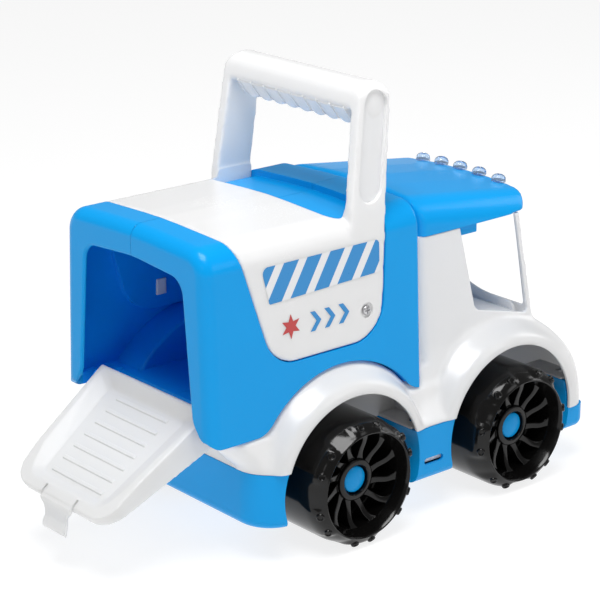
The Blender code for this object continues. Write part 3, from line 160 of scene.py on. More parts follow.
def mouldedPlastic(name, light, deep, gloss, edge=0.0006, peel=0.05, inside=None, **fixed):
    # moulded plastic: slow drift of tone, faint flow marks, fine orange peel and softened edges
    made = Finish(name, **fixed)
    drift = made.noise(11.0, 3.0)
    bands = {"Vector": made.place, "Scale": 6.0, "Distortion": 9.0, "Detail": 2.0, "Detail Scale": 1.4}
    flow = made.node("ShaderNodeTexWave", {"wave_type": "BANDS", "bands_direction": "DIAGONAL"}, bands, 1)
    grain = made.noise(1500.0, 2.0)
    tone = made.blend(drift * 0.7 + flow * 0.3, (*light, 1), (*deep, 1))
    # inside, when given, paints shade over the tone
    made.feed("Base Color", inside(made, tone) if inside else tone)
    made.feed("Roughness", gloss + (drift - 0.5) * 0.06 + (grain - 0.5) * 0.05)
    soft = made.node("ShaderNodeBevel", {"samples": 6}, {"Radius": edge})
    skin = {"Strength": peel, "Distance": 0.0004, "Height": grain, "Normal": soft}
    made.feed("Normal", made.node("ShaderNodeBump", {}, skin))
    return made.material


# where the hold's painted shade goes and how deep it is: a margin from the hold's ends, a set-in at the front
# corner, and the painted shade colour
holdShadePaint = {"edge": 9.0, "frontCorner": 0.008, "tone": (0.004, 0.32, 0.98, 1)}


def paintedHoldShade(made, tone):
    # painted shade: the hold's walls light each other, so their blue looks deeper than outside, and that
    # deeper blue is painted into the colour here
    x, y, z = (made.node("ShaderNodeSeparateXYZ", {}, {0: made.place}, k) for k in range(3))
    lean = (truck["bodyHalfHigh"] - truck["bodyHalfLow"]) / (truck["bodyTop"] - truck["bodyLow"])
    middle = (truck["bodyHalfLow"] - truck["wall"] / 2 - lean * truck["bodyLow"]) / 1000
    rear = (truck["bodyRear"] + holdShadePaint["edge"]) / 1000 + rearAxle.x
    front = (truck["bodyFront"] - holdShadePaint["edge"]) / 1000 + rearAxle.x
    off = made.node("ShaderNodeMath", {"operation": "ABSOLUTE"}, {0: y})
    low = z < (truck["bodyTop"] - truck["bodyCrown"] - truck["bodyCorner"]) / 1000
    inHoldShade = off < z * lean + middle - (x > front) * holdShadePaint["frontCorner"]
    # painted shade: blends to the deeper blue wherever the point lies inside the hold
    return made.blend((x > rear) * low * inHoldShade, tone, holdShadePaint["tone"])


blueTones = ((0.002, 0.355, 0.83), (0.002, 0.335, 0.80))
whiteTones = ((0.86, 0.86, 0.86), (0.84, 0.84, 0.845))
milkyTones = ((0.80, 0.80, 0.795), (0.77, 0.77, 0.765))
blackTones = ((0.0045, 0.0043, 0.0042), (0.0035, 0.0033, 0.0032))
blueSheen = {"Specular_IOR_Level": 0.18}
# thin white walls let light through
whiteGlow = {"Subsurface_Weight": 0.5, "Subsurface_Scale": 0.006, "Subsurface_Radius": (1, 1, 1)}
bluePlastic = mouldedPlastic("bluePlastic", *blueTones, 0.22, **blueSheen)
whitePlastic = mouldedPlastic("whitePlastic", *whiteTones, 0.26, **whiteGlow)
softWhite = mouldedPlastic("softWhite", *whiteTones, 0.24, 0.0010, **whiteGlow)
milkyWhite = mouldedPlastic("milkyWhite", *milkyTones, 0.34, 0.0008, 0.08, **whiteGlow)
blackPlastic = mouldedPlastic("blackPlastic", *blackTones, 0.13, 0.0005, 0.04, Specular_IOR_Level=0.32)
# the van body's blue, with painted shade inside its hold
bodyBlueHoldShade = mouldedPlastic("bodyBlueHoldShade", *blueTones, 0.22, inside=paintedHoldShade, **blueSheen)
capBlue = mouldedPlastic("capBlue", *blueTones, 0.24, **blueSheen)


def clearPlastic(name):
    made = Finish(name, Transmission_Weight=0.85, IOR=1.46)
    streak = made.noise(260.0, 2.0)
    made.feed("Base Color", made.blend(streak, (0.62, 0.78, 0.95, 1), (0.45, 0.64, 0.90, 1)))
    made.feed("Roughness", 0.05 + streak * 0.08)
    return made.material


def platedSteel(name):
    made = Finish(name, Metallic=1.0)
    drawn = made.node("ShaderNodeMapping", {}, {"Vector": made.place, "Scale": (40, 2600, 40)})
    streak = made.node("ShaderNodeTexNoise", {}, {"Vector": drawn, "Scale": 1.0, "Detail": 3.0})
    made.feed("Base Color", made.blend(streak, (0.66, 0.66, 0.67, 1), (0.48, 0.48, 0.50, 1)))
    made.feed("Roughness", 0.22 + streak * 0.16)
    return made.material


lightClear = clearPlastic("lightClear")
steelPlate = platedSteel("steelPlate")
print("finishes made")


def plateNode(name):
    # a hidden steel piece keeps its solid and only gets its finish
    node = frame["nodes"][name]
    node.data.materials.clear()
    node.data.materials.append(steelPlate)


# Mesh helpers

def rounded(corners, step=9.0):
    # corners are (a, b, radius); each radius becomes an arc
    points = []
    for k, (a, b, radius) in enumerate(corners):
        here = Vector((a, b))
        if radius <= 0:
            points.append(here)
            continue
        before = (Vector(corners[k - 1][:2]) - here).normalized()
        after = (Vector(corners[(k + 1) % len(corners)][:2]) - here).normalized()
        half = before.angle(after) / 2
        centre = here + (before + after).normalized() * radius / math.sin(half)
        start = here + before * radius / math.tan(half) - centre
        end = here + after * radius / math.tan(half) - centre
        sweep = math.pi - 2 * half
        sign = 1 if start.x * end.y - start.y * end.x > 0 else -1
        count = max(2, math.ceil(math.degrees(sweep) / step))
        first = math.atan2(start.y, start.x)
        for j in range(count + 1):
            angle = first + sign * sweep * j / count
            points.append(centre + radius * Vector((math.cos(angle), math.sin(angle))))
    return points


def slab(outline, axis, low, high):
    # an outline square to an axis, extruded along it
    c = "xyz".index(axis)
    a, b = [k for k in range(3) if k != c]
    bm = bmesh.new()
    ring = []
    for point in outline:
        spot = Vector()
        spot[a], spot[b], spot[c] = point[0], point[1], low
        ring.append(bm.verts.new(spot))
    lid = bmesh.ops.extrude_face_region(bm, geom=[bm.faces.new(ring)])["geom"]
    shift = Vector()
    shift[c] = high - low
    bmesh.ops.translate(bm, verts=[v for v in lid if isinstance(v, bmesh.types.BMVert)], vec=shift)
    bmesh.ops.recalc_face_normals(bm, faces=bm.faces)
    return bm


def brick(low, high):
    bm = bmesh.new()
    bmesh.ops.create_cube(bm, size=1.0)
    low, high = Vector(low), Vector(high)
    stretch = Matrix.Diagonal((*(high - low), 1))
    bmesh.ops.transform(bm, verts=bm.verts, matrix=Matrix.Translation((low + high) / 2) @ stretch)
    return bm


def lathe(profile, steps=96):
    # a closed profile of (radius, y) spun about the y axis
    bm = bmesh.new()
    ring = [bm.verts.new((r, y, 0)) for r, y in profile]
    edges = [bm.edges.new((ring[k - 1], ring[k])) for k in range(len(ring))]
    bmesh.ops.spin(bm, geom=ring + edges, axis=(0, 1, 0), angle=math.tau, steps=steps, use_merge=True)
    bmesh.ops.remove_doubles(bm, verts=bm.verts, dist=1e-4)
    bmesh.ops.dissolve_degenerate(bm, edges=bm.edges, dist=1e-4)
    bmesh.ops.delete(bm, geom=[e for e in bm.edges if e.is_wire], context="EDGES")
    bmesh.ops.recalc_face_normals(bm, faces=bm.faces)
    return bm


def loft(stages):
    # rings of points joined one to the next, closed at both ends
    bm = bmesh.new()
    rings = []
    for k, points in enumerate(stages):
        ring = [bm.verts.new(point) for point in points]
        if k in (0, len(stages) - 1):
            rings.append(list(bm.faces.new(ring).edges))
        else:
            rings.append([bm.edges.new((ring[j - 1], ring[j])) for j in range(len(ring))])
    for first, second in zip(rings, rings[1:]):
        bmesh.ops.bridge_loops(bm, edges=first + second)
    bmesh.ops.recalc_face_normals(bm, faces=bm.faces)
    return bm


def disc(radius, low, high, steps=64, axis="y"):
    turns = [math.tau * k / steps for k in range(steps)]
    return slab([(radius * math.cos(a), radius * math.sin(a)) for a in turns], axis, low, high)


def gather(shapes):
    # separate shapes in one mesh
    joined = bmesh.new()
    for bm in shapes:
        mesh = bpy.data.meshes.new("gathered")
        bm.to_mesh(mesh)
        bm.free()
        joined.from_mesh(mesh)
        bpy.data.meshes.remove(mesh)
    return joined


def shifted(bm, x=0.0, y=0.0, z=0.0):
    bmesh.ops.translate(bm, verts=bm.verts, vec=(x, y, z))
    return bm


def turned(bm, angle, axis):
    bmesh.ops.rotate(bm, verts=bm.verts, matrix=Matrix.Rotation(angle, 3, axis))
    return bm


def bore(radius, x, z, low, high, steps=32):
    # a round bar along y, mostly to cut with
    return shifted(disc(radius, low, high, steps), x, 0, z)


def flipped(bm):
    # the same shape on the truck's other side
    bmesh.ops.scale(bm, verts=bm.verts, vec=(1, -1, 1))
    bmesh.ops.reverse_faces(bm, faces=bm.faces)
    return bm


def sided(bm, side):
    return bm if side > 0 else flipped(bm)


def ends(side, near, far):
    return sorted((side * near, side * far))


def ease(bm, width, segments, pick):
    # rounds the edges whose ends both pass a test
    edges = [e for e in bm.edges if pick(e.verts[0].co) and pick(e.verts[1].co)]
    bmesh.ops.bevel(bm, geom=edges, offset=width, segments=segments, profile=0.5, affect="EDGES", material=-1,
                    clamp_overlap=True)
    return bm


def block(bm, name="block"):
    mesh = bpy.data.meshes.new(name)
    bm.to_mesh(mesh)
    bm.free()
    made = bpy.data.objects.new(name, mesh)
    bpy.context.collection.objects.link(made)
    return made


def settle(obj):
    # takes the modifiers' result as the mesh
    mesh = bpy.data.meshes.new_from_object(obj.evaluated_get(bpy.context.evaluated_depsgraph_get()))
    obj.modifiers.clear()
    old = obj.data
    obj.data = mesh
    bpy.data.meshes.remove(old)
    return obj


def carve(obj, operation, *tools):
    # the quick solver first, and the exact one where that changes nothing
    for tool in tools:
        other = tool if isinstance(tool, bpy.types.Object) else block(tool, "tool")
        for solver in ("MANIFOLD", "EXACT"):
            modifier = obj.modifiers.new("carve", "BOOLEAN")
            modifier.operation, modifier.object, modifier.solver = operation, other, solver
            found = obj.evaluated_get(bpy.context.evaluated_depsgraph_get())
            good = len(found.data.polygons) > 0 and len(found.data.polygons) != len(obj.data.polygons)
            if good or solver == "EXACT":
                settle(obj)
                break
            obj.modifiers.clear()
        oldMesh = other.data
        bpy.data.objects.remove(other)
        bpy.data.meshes.remove(oldMesh)
    return obj


def cut(obj, *tools):
    return carve(obj, "DIFFERENCE", *tools)


def add(obj, *tools):
    return carve(obj, "UNION", *tools)


def keep(obj, *tools):
    return carve(obj, "INTERSECT", *tools)


def melt(obj, voxel, rounds, factor=0.5):
    # re-skins a solid evenly, then smooths it, so that its edges and inner corners flow as moulded ones do
    modifier = obj.modifiers.new("skin", "REMESH")
    modifier.mode, modifier.voxel_size, modifier.adaptivity = "VOXEL", voxel, 0.0
    settle(obj)
    bm = fetch(obj)
    for k in range(rounds):
        bmesh.ops.smooth_vert(bm, verts=bm.verts, factor=factor, use_axis_x=True, use_axis_y=True,
                              use_axis_z=True)
    bm.to_mesh(obj.data)
    bm.free()
    return obj


def fetch(obj):
    bm = bmesh.new()
    bm.from_mesh(obj.data)
    return bm


def finishPiece(obj, name, body, finish, nodes=(), angle=32.0):
    # to metres in the shared frame, shaded, and hung on its body
    bm = fetch(obj)
    bmesh.ops.remove_doubles(bm, verts=bm.verts, dist=1e-4)
    bmesh.ops.delete(bm, geom=[e for e in bm.edges if e.is_wire], context="EDGES")
    toFrame = Matrix.Translation((rearAxle.x, 0, 0)) @ Matrix.Scale(0.001, 4)
    bmesh.ops.transform(bm, verts=bm.verts, matrix=toFrame)
    bm.to_mesh(obj.data)
    bm.free()
    obj.name = obj.data.name = name
    obj.data.materials.clear()
    obj.data.materials.append(finish)
    obj.data.shade_smooth()
    obj.data.set_sharp_from_angle(angle=math.radians(angle))
    even = obj.modifiers.new("evenNormals", "WEIGHTED_NORMAL")
    even.keep_sharp = True
    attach(obj, body)
    if nodes:
        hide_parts(*nodes)
    return obj


# Wheels

wheelSet = {
    "web": 74.0, "ribs": 12, "ribThick": 3.8, "swirl": 15.0, "ribInner": 12.4, "ribOuter": 29.9,
    "ribTop": 84.0, "ribRise": 5.2, "pads": 6, "studTurn": 10.2, "studRadius": 2.6,
    "studPlace": (37.5, 94.4), "studTilt": -44.0, "capRadius": 8.3, "capSeat": 80.2, "capFace": 84.8,
    "dome": 1.3, "padPhase": {"front": 58.5, "rear": 87.5}, "ribPhase": {"front": -67.0, "rear": -97.0}}
# profiles of (radius, y), from the hub out over the tyre and back inside
dishProfile = [
    (2.8, 33.6), (2.8, 79.9), (8.9, 79.9), (9.3, 85.6), (9.9, 86.2), (11.9, 86.2), (12.9, 85.7),
    (13.3, 84.6), (13.8, 79.0), (14.8, 74.5), (16.0, 74.0), (28.0, 74.0), (28.9, 74.6), (29.2, 80.0),
    (29.4, 88.4), (29.8, 89.8), (30.6, 91.9), (31.8, 95.2), (32.3, 96.5), (32.8, 97.3), (33.4, 97.6),
    (33.9, 97.2)]
# the shoulder between the pads, and on a pad
gapProfile = [
    (34.2, 96.5), (34.9, 95.4), (35.7, 94.1), (36.5, 92.6), (37.3, 90.8), (38.1, 88.8), (38.9, 86.5),
    (39.5, 84.2), (39.9, 81.9)]
padProfile = [
    (34.3, 96.9), (35.3, 96.3), (36.5, 95.4), (37.6, 94.2), (38.5, 92.6), (39.2, 90.7), (39.7, 88.5),
    (39.95, 86.0), (40.0, 83.4)]
drumProfile = [
    (40.0, 79.0), (40.0, 66.0), (40.0, 52.0), (40.0, 43.5), (39.8, 41.0), (39.2, 38.2), (38.6, 37.0),
    (37.2, 37.0), (37.2, 79.0), (36.2, 84.5), (34.3, 89.6), (33.2, 92.4), (32.3, 92.0), (31.6, 88.0),
    (31.4, 71.2), (6.5, 71.2), (6.5, 33.6)]


def padLift(angle):
    wave = (1 + math.cos(wheelSet["pads"] * angle)) / 2
    share = min(1.0, max(0.0, (wave - 0.22) / 0.34))
    return share * share * (3 - 2 * share)


def raisePads(bm, phase):
    # six raised pads round the tyre's outer shoulder
    for v in bm.verts:
        radius = math.hypot(v.co.x, v.co.z)
        for gapPoint, padPoint in zip(gapProfile, padProfile):
            if abs(radius - gapPoint[0]) < 0.02 and abs(v.co.y - gapPoint[1]) < 0.02:
                lift = padLift(math.atan2(v.co.z, v.co.x) - phase)
                grown = (radius + (padPoint[0] - radius) * lift) / radius
                v.co = (v.co.x * grown, v.co.y + (padPoint[1] - v.co.y) * lift, v.co.z * grown)
                break
    return bm


def stud(angle):
    # a small ring-shaped stud standing square on a pad
    w, s = wheelSet, wheelSet["studRadius"]
    bm = lathe([(0, -2.0), (s + 0.2, -2.0), (s, 0.3), (s - 0.2, 0.8), (s - 0.6, 1.1), (s - 1.0, 0.95),
                (s - 1.3, 0.4), (0, 0.25)], 20)
    shifted(turned(bm, math.radians(w["studTilt"]), "Z"), *w["studPlace"])
    return turned(bm, -angle, "Y")


def rib(angle):
    # one deep rib, drawn flat from hub to rim, then extruded down to the web and rounded on top
    w = wheelSet
    stations = 13
    bm = bmesh.new()
    left, right = [], []
    for k in range(stations):
        share = k / (stations - 1)
        radius = w["ribInner"] + (w["ribOuter"] - w["ribInner"]) * share
        turn = angle + math.radians(w["swirl"] * (share - 1) + 1.8 * math.sin(math.tau * share))
        out = Vector((math.cos(turn), 0, math.sin(turn)))
        across = Vector((-out.z, 0, out.x)) * w["ribThick"] / 2 * (1 + 0.7 * abs(2 * share - 1) ** 4)
        top = Vector((0, w["ribTop"] + w["ribRise"] * share ** 1.5, 0))
        left.append(bm.verts.new(out * radius + across + top))
        right.append(bm.verts.new(out * radius - across + top))
    flat = [bm.faces.new((left[k], left[k + 1], right[k + 1], right[k])) for k in range(stations - 1)]
    lower = bmesh.ops.extrude_face_region(bm, geom=flat)["geom"]
    for v in [g for g in lower if isinstance(g, bmesh.types.BMVert)]:
        v.co.y = w["web"] - 1.2
    bmesh.ops.recalc_face_normals(bm, faces=bm.faces)
    crest = [e for e in bm.edges if min(v.co.y for v in e.verts) > 80
             and abs(e.verts[0].co.xz.length - e.verts[1].co.xz.length) > 0.5]
    bmesh.ops.bevel(bm, geom=crest, offset=0.7, segments=2, profile=0.5, affect="EDGES", material=-1)
    return bm


def makeWheel(end):
    w = wheelSet
    padPhase, ribPhase = math.radians(w["padPhase"][end]), math.radians(w["ribPhase"][end])
    tyre = block(raisePads(lathe(dishProfile + gapProfile + drumProfile, 144), padPhase), "tyre")
    add(tyre, gather(rib(ribPhase + math.tau * k / w["ribs"]) for k in range(w["ribs"])))
    lead = math.radians(w["studTurn"])
    turns = [math.tau * k / w["pads"] + hand * lead for k in range(w["pads"]) for hand in (-1, 1)]
    return add(tyre, gather(stud(padPhase + turn) for turn in turns))


def makeCap():
    w = wheelSet
    r, f, d, seat = w["capRadius"], w["capFace"], w["dome"], w["capSeat"]
    return lathe([(0, 83.0), (2.6, 83.0), (2.6, seat), (r, seat), (r, f - 1.0), (r - 0.3, f - 0.35),
                  (r - 0.9, f), (r * 0.72, f + d * 0.45), (r * 0.45, f + d * 0.8), (r * 0.2, f + d * 0.96),
                  (0, f + d)], 48)


for end, axleX in (("front", truck["wheelbase"]), ("rear", 0.0)):
    wheelPattern = makeWheel(end)
    for sideName, side in bothSides:
        tyre = block(shifted(sided(fetch(wheelPattern), side), axleX, 0, truck["wheelRadius"]))
        node = f"wheel_{end}_{sideName}"
        finishPiece(tyre, f"tyre_{end}_{sideName}", node, blackPlastic, [node], 28)
        cap = block(shifted(sided(makeCap(), side), axleX, 0, truck["wheelRadius"]))
        finishPiece(cap, f"hubCap_{end}_{sideName}", "truck", capBlue,
                    [f"axle_cap_{end}_{sideName}"])
    plateNode(f"{end}_axle")
    bpy.data.objects.remove(wheelPattern)
print("wheels made")


# Chassis tray

chassisSet = {
    "corner": 24.0, "frontCorner": 8.0, "lowerEdge": 5.8, "spineHalf": 33.0, "bow": 174.4, "wellWall": 82.0,
    "wellRear": 165.0, "wellFront": 192.0, "wellSink": 6.0, "slot": (57.9, 73.9, 33.0, 37.2),
    "screwInset": 9.5, "screwHalf": 60.0, "screwBore": 3.2, "axleBore": 2.65}


def trayOutline(inset):
    r, f = chassisSet["corner"] - inset, chassisSet["frontCorner"] - inset
    rear, front, half = truck["baseRear"] + inset, truck["baseFront"] - inset, truck["baseHalf"] - inset
    return rounded([(rear, -half, r), (front, -half, f), (front, half, f), (rear, half, r)])


def axleRoom(radius, inner, x, side):
    return bore(radius, x, truck["wheelRadius"], *ends(side, inner, truck["far"]), 128)


def makeChassis():
    c, wall, far = chassisSet, truck["wall"], truck["far"]
    low, top, arch = truck["baseLow"], truck["baseTop"], truck["archRadius"]
    inner = c["spineHalf"] - wall
    tray = block(ease(slab(trayOutline(0), "z", low, top), c["lowerEdge"], 5, lambda co: co.z < low + 0.01))
    room = block(slab(trayOutline(wall), "z", low + wall, top + wall))
    for x in axles:
        for side in (-1, 1):
            cut(room, axleRoom(arch + wall, inner, x, side))
            cut(tray, axleRoom(arch, c["spineHalf"], x, side))
    cut(tray, room, brick((c["bow"], -far, truck["apronLow"] - truck["gap"]), (far, far, far)))
    for side in (-1, 1):  # the front wells' walls stand up inside the nose
        near, outer = ends(side, inner, c["wellWall"])
        sunk = truck["apronLow"] - c["wellSink"]
        well = block(brick((c["wellRear"], near, sunk), (c["wellFront"], outer, top)))
        keep(well, axleRoom(arch + wall, inner, truck["wheelbase"], side))
        cut(well, axleRoom(arch, 0, truck["wheelbase"], side))
        add(tray, well)
    x0, x1, z0, z1 = c["slot"]
    r = (z1 - z0) / 2 - 0.01
    slot = rounded([(x0, z0, r), (x1, z0, r), (x1, z1, r), (x0, z1, r)])
    for side in (-1, 1):
        cut(tray, slab(slot, "y", *ends(side, truck["baseHalf"] - 3, 96.0)))
    for x in (truck["baseRear"] + c["screwInset"], truck["baseFront"] - c["screwInset"]):
        for y in (-c["screwHalf"], c["screwHalf"]):
            cut(tray, shifted(disc(c["screwBore"], 0, 30.0, 24, "z"), x, y))
    for x in axles:
        cut(tray, bore(c["axleBore"], x, truck["wheelRadius"], -79.0, 79.0))
    return tray


finishPiece(makeChassis(), "chassisTray", "truck", bluePlastic, ["chassis_base"])
print("chassis made")


# White cab and skirt

skirtSet = {
    "low": 57.8, "top": 79.7, "halfTop": 73.2, "rear": -89.0, "loftFront": 188.0, "lipRadius": 57.5,
    "face": 85.5, "plinthLow": 75.0, "plinthTop": 85.3, "plinthHalf": 70.0, "plinthFront": 62.4,
    "tailHalf": 58.6, "rearRootHalf": 70.0, "cabRootHalf": 66.8, "cupHalf": 48.0, "noseFull": 74.0,
    "noseHalf": 66.5, "cabRear": 66.0, "cabTop": 173.0, "halfHigh": 65.0, "halfWaist": 67.0, "waist": 96.0,
    "rearCorner": 9.0, "frontTop": 157.0, "frontLow": 172.0, "frontLowZ": 93.0, "windowTop": 103.0,
    "windowLow": 116.8, "windowCorner": 7.0, "sill": 117.2, "sillFront": 105.0, "pillar": 5.0,
    "screenSill": 107.5, "screenHalf": 60.5, "screenTop": 190.0, "ledgeStart": 50.4, "ledgeThick": 1.5,
    "ledges": ((66.8, 47.0, 68.0), (57.0, 67.0, 80.0)), "dash": (161.2, 163.6), "dashLevel": 110.2,
    "dashHump": 7.5, "dashSpread": 19.0, "voxel": 1.5, "melt": 10}


def flareCurve(root, shift, count=16):
    s = skirtSet
    points = []
    for k in range(count + 1):
        share = k / count
        radius = truck["flareRoot"] + (s["lipRadius"] - truck["flareRoot"]) * share
        points.append((radius, root + (s["face"] - root) * (1 - math.cos(math.pi * share)) / 2 - shift))
    return points


def archDrum(x, side, shift):
    # shift 0 is the flared arch, a wall's shift is the room under it
    s = skirtSet
    root = s["cabRootHalf"] if x > 0 else s["rearRootHalf"]
    curve = flareCurve(root, shift)
    if shift:
        inner = truck["flareRoot"] - shift
        curve = [(min(r, inner), y) for r, y in curve]
        profile = [(0, s["cupHalf"] + shift), (inner, s["cupHalf"] + shift)] + curve + [
            (truck["archRadius"], s["face"] - shift), (truck["archRadius"], 120.0), (0, 120.0)]
    else:
        profile = [(0, s["cupHalf"]), (truck["flareRoot"], s["cupHalf"])] + curve + [(0, s["face"])]
    drum = lathe(profile, 128)
    if x > 0 and not shift:
        fillNose(drum)
    return shifted(sided(drum, side), x, 0, truck["wheelRadius"])


def fillNose(drum):
    # the flare runs hollow into the cab, and turns into a full round corner towards the nose
    s = skirtSet
    span = truck["flareRoot"] - s["lipRadius"]
    for v in drum.verts:
        over = math.hypot(v.co.x, v.co.z) - s["lipRadius"]
        if v.co.y > s["cabRootHalf"] - 0.1 and over > -0.1:
            share = min(1.0, max(0.0, (72.0 - abs(math.degrees(math.atan2(v.co.z, v.co.x)))) / 46.0))
            full = s["noseFull"] + (s["face"] - s["noseFull"]) * math.sqrt(max(0.0, 1 - (over / span) ** 2))
            v.co.y += (full - v.co.y) * share * share * (3 - 2 * share)


def noseDisc(radius, floor):
    x, z = truck["wheelbase"], truck["wheelRadius"]
    first = math.asin((floor - z) / radius)
    angles = [first + (math.pi - 2 * first) * k / 64 for k in range(65)]
    return [(x + radius * math.cos(a), z + radius * math.sin(a)) for a in angles]


def skirtLoft():
    # hollow from the tray's outline up to the van body's lower edge
    s, low, rear, r = skirtSet, skirtSet["low"], truck["baseRear"], chassisSet["corner"]
    wide, front = truck["baseHalf"], skirtSet["loftFront"]
    levels = [  # height, half width, rear end, corner
        (low - 6, wide, rear, r), (low + 1.1, wide, rear, r), (low + 2.0, 83.8, rear - 0.6, 23.6),
        (low + 4.4, 80.6, rear - 3.6, 22.5), (low + 8.6, 77.2, rear - 8.0, 20.5),
        (low + 14.6, 74.6, rear - 14.0, 17.5), (s["top"], s["halfTop"], s["rear"], 14.0)]
    stages = []
    for z, half, end, r in levels:
        outline = rounded([(end, -half, r), (front, -half, 0), (front, half, 0), (end, half, r)], 7.5)
        stages.append([(x, y, z) for x, y in outline])
    return loft(stages)


def cabSection(inset, floor):
    s, wide = skirtSet, truck["baseHalf"]
    lid = s["cabTop"] + (8 if inset else 4)
    if inset:
        half = [(s["halfWaist"] - inset, floor, 0), (s["halfHigh"] - inset, lid, 0)]
    else:
        half = [(wide, floor - 6, 0), (wide, floor + 1.1, 0), (81.6, floor + 4.0, 4),
                (76.6, floor + 11.0, 10), (71.6, floor + 21.5, 14), (s["halfWaist"], s["waist"] + 4, 20),
                (s["halfHigh"], lid, 0)]
    return rounded([(-y, z, r) for y, z, r in reversed(half)] + half)


def cabLean():
    return (skirtSet["frontLow"] - skirtSet["frontTop"]) / (skirtSet["cabTop"] - skirtSet["frontLowZ"])


def cabSide(inset, floor):
    s = skirtSet
    top = s["cabTop"] + (8 if inset else 4)
    front = s["frontTop"] - inset - cabLean() * (top - s["cabTop"])
    rear, low = s["cabRear"] + inset, s["frontLow"] - inset
    return [(rear, floor), (low, floor), (low, s["frontLowZ"]), (front, top), (rear, top)]


def sideWindow():
    s, rise, r = skirtSet, 8.0, skirtSet["windowCorner"]
    rearLean = (s["windowLow"] - s["windowTop"]) / (s["cabTop"] - s["sill"])
    top, frontTop = s["cabTop"] + rise, s["frontTop"] - s["pillar"]
    frontLow = frontTop + cabLean() * (s["cabTop"] - s["sillFront"])
    return rounded([(s["windowTop"] - rearLean * rise, top, 0), (s["windowLow"], s["sill"], r),
                    (frontLow, s["sillFront"], r / 3), (frontTop - cabLean() * rise, top, 0)])


def windscreen():
    s, half, r = skirtSet, skirtSet["screenHalf"], skirtSet["windowCorner"] / 2
    return rounded([(-half, s["screenTop"], 0), (-half, s["screenSill"], r), (half, s["screenSill"], r),
                    (half, s["screenTop"], 0)])


def dashOutline():
    # the dash behind the windscreen, humped in the middle
    level, rise, spread = skirtSet["dashLevel"], skirtSet["dashHump"], skirtSet["dashSpread"]
    wing = [(-57, 96), (-57, 105), (-55, 108.6), (-52, 110)]
    hump = [(y, level + rise * math.exp(-(y / spread) ** 2)) for y in range(-48, 49, 4)]
    return wing + hump + [(-y, z) for y, z in reversed(wing)]


def cabCorners(inset):
    # what comes off the cab's two rear corners to round them
    s = skirtSet
    r = s["rearCorner"]
    x, y = s["cabRear"] + r, s["halfHigh"] + 0.8 - r
    tools = []
    for side in (-1, 1):
        near, outer = ends(side, y, 90.0)
        corner = block(brick((s["cabRear"] - 5, near, s["waist"] - 4), (x, outer, 200.0)))
        cut(corner, shifted(disc(r - inset, 80.0, 210.0, 64, "z"), x, side * y))
        tools.append(corner)
    return tools


def addLedges(shell):
    # ledges that close the wells down to the tray
    s = skirtSet
    for x in axles:
        for end in (-1, 1):
            for reach, start, stop in s["ledges"]:
                low, high = sorted((x + end * s["ledgeStart"], x + end * reach))
                for side in (-1, 1):
                    near, outer = ends(side, start, stop)
                    add(shell, brick((low, near, s["low"]), (high, outer, s["low"] + s["ledgeThick"])))


def makeSkirt():
    s, far, wall, low = skirtSet, truck["far"], truck["wall"], skirtSet["low"]
    root, apron, half = truck["flareRoot"], truck["apronLow"], skirtSet["noseHalf"]
    arches = [(x, side) for x in axles for side in (-1, 1)]
    shell = block(skirtLoft())
    add(shell, brick((truck["baseRear"], -s["plinthHalf"], s["plinthLow"]),
                     (s["plinthFront"], s["plinthHalf"], s["plinthTop"])))
    cab = block(slab(cabSection(0, low), "x", s["cabRear"], far))
    keep(cab, slab(cabSide(0, low - 6), "y", -far, far))
    add(shell, cut(cab, *cabCorners(0)))
    add(shell, slab(noseDisc(root - 0.3, 32.0), "y", -half, half))
    for x, side in arches:
        add(shell, archDrum(x, side, 0))
    melt(shell, s["voxel"], s["melt"])
    cut(shell, brick((-far, -far, -far), (truck["wheelbase"], far, low)))
    cut(shell, brick((-far, -far, -far), (far, far, apron)))
    cut(shell, brick((-far, -far, s["cabTop"]), (far, far, far)))
    cut(shell, slab(noseDisc(root - wall, apron - 4), "y", wall - half, half - wall))
    for x, side in arches:
        cut(shell, archDrum(x, side, wall))
    addLedges(shell)
    inside = block(slab(cabSection(wall, s["plinthTop"]), "x", s["cabRear"], far))
    keep(inside, slab(cabSide(wall, s["plinthTop"] - wall), "y", -far, far))
    cut(inside, slab(noseDisc(root, 45.0), "y", -far, far), *cabCorners(wall))
    cut(shell, inside, slab(sideWindow(), "y", -far, far), slab(windscreen(), "x", s["frontTop"] - 4, far))
    cut(shell, brick((-far, -s["tailHalf"], -far), (truck["baseRear"], s["tailHalf"], far)))
    add(shell, ease(slab(dashOutline(), "x", *s["dash"]), 0.9, 3, lambda co: co.z > 106))
    x0, x1, z0 = chassisSet["slot"][:3]
    for side in (-1, 1):  # clips that show through the slots of the tray
        near, outer = ends(side, truck["baseHalf"] - 4.4, truck["baseHalf"] - 2.3)
        add(shell, brick((x0 - 1, near, z0 + 0.8), (x1 + 1, outer, low + 3)))
    return shell


finishPiece(makeSkirt(), "cabSkirt", "truck", softWhite, ["cab_skirt"], 38)
print("cab and skirt made")


# Van body

bodySet = {
    "rearEdge": 8.5, "lowEdge": 4.0, "frontEdge": 2.6, "floor": 87.6, "archFillet": 16.0, "bulge": 78.0,
    "bulgeHalf": 45.7, "bulgeEdge": 6.0, "openLow": 55.2, "openHigh": 47.0, "openTop": 180.5,
    "openCrown": 3.5, "openCorner": 11.0, "openEdge": 1.8, "legHalf": 66.0, "legTop": 94.0,
    "legRadius": 12.0, "seam": 0.3, "pivot": (-84.0, 84.5), "pinBore": 2.8, "earHalf": (55.2, 58.2),
    "earReach": 6.8, "screwBoss": 4.2}

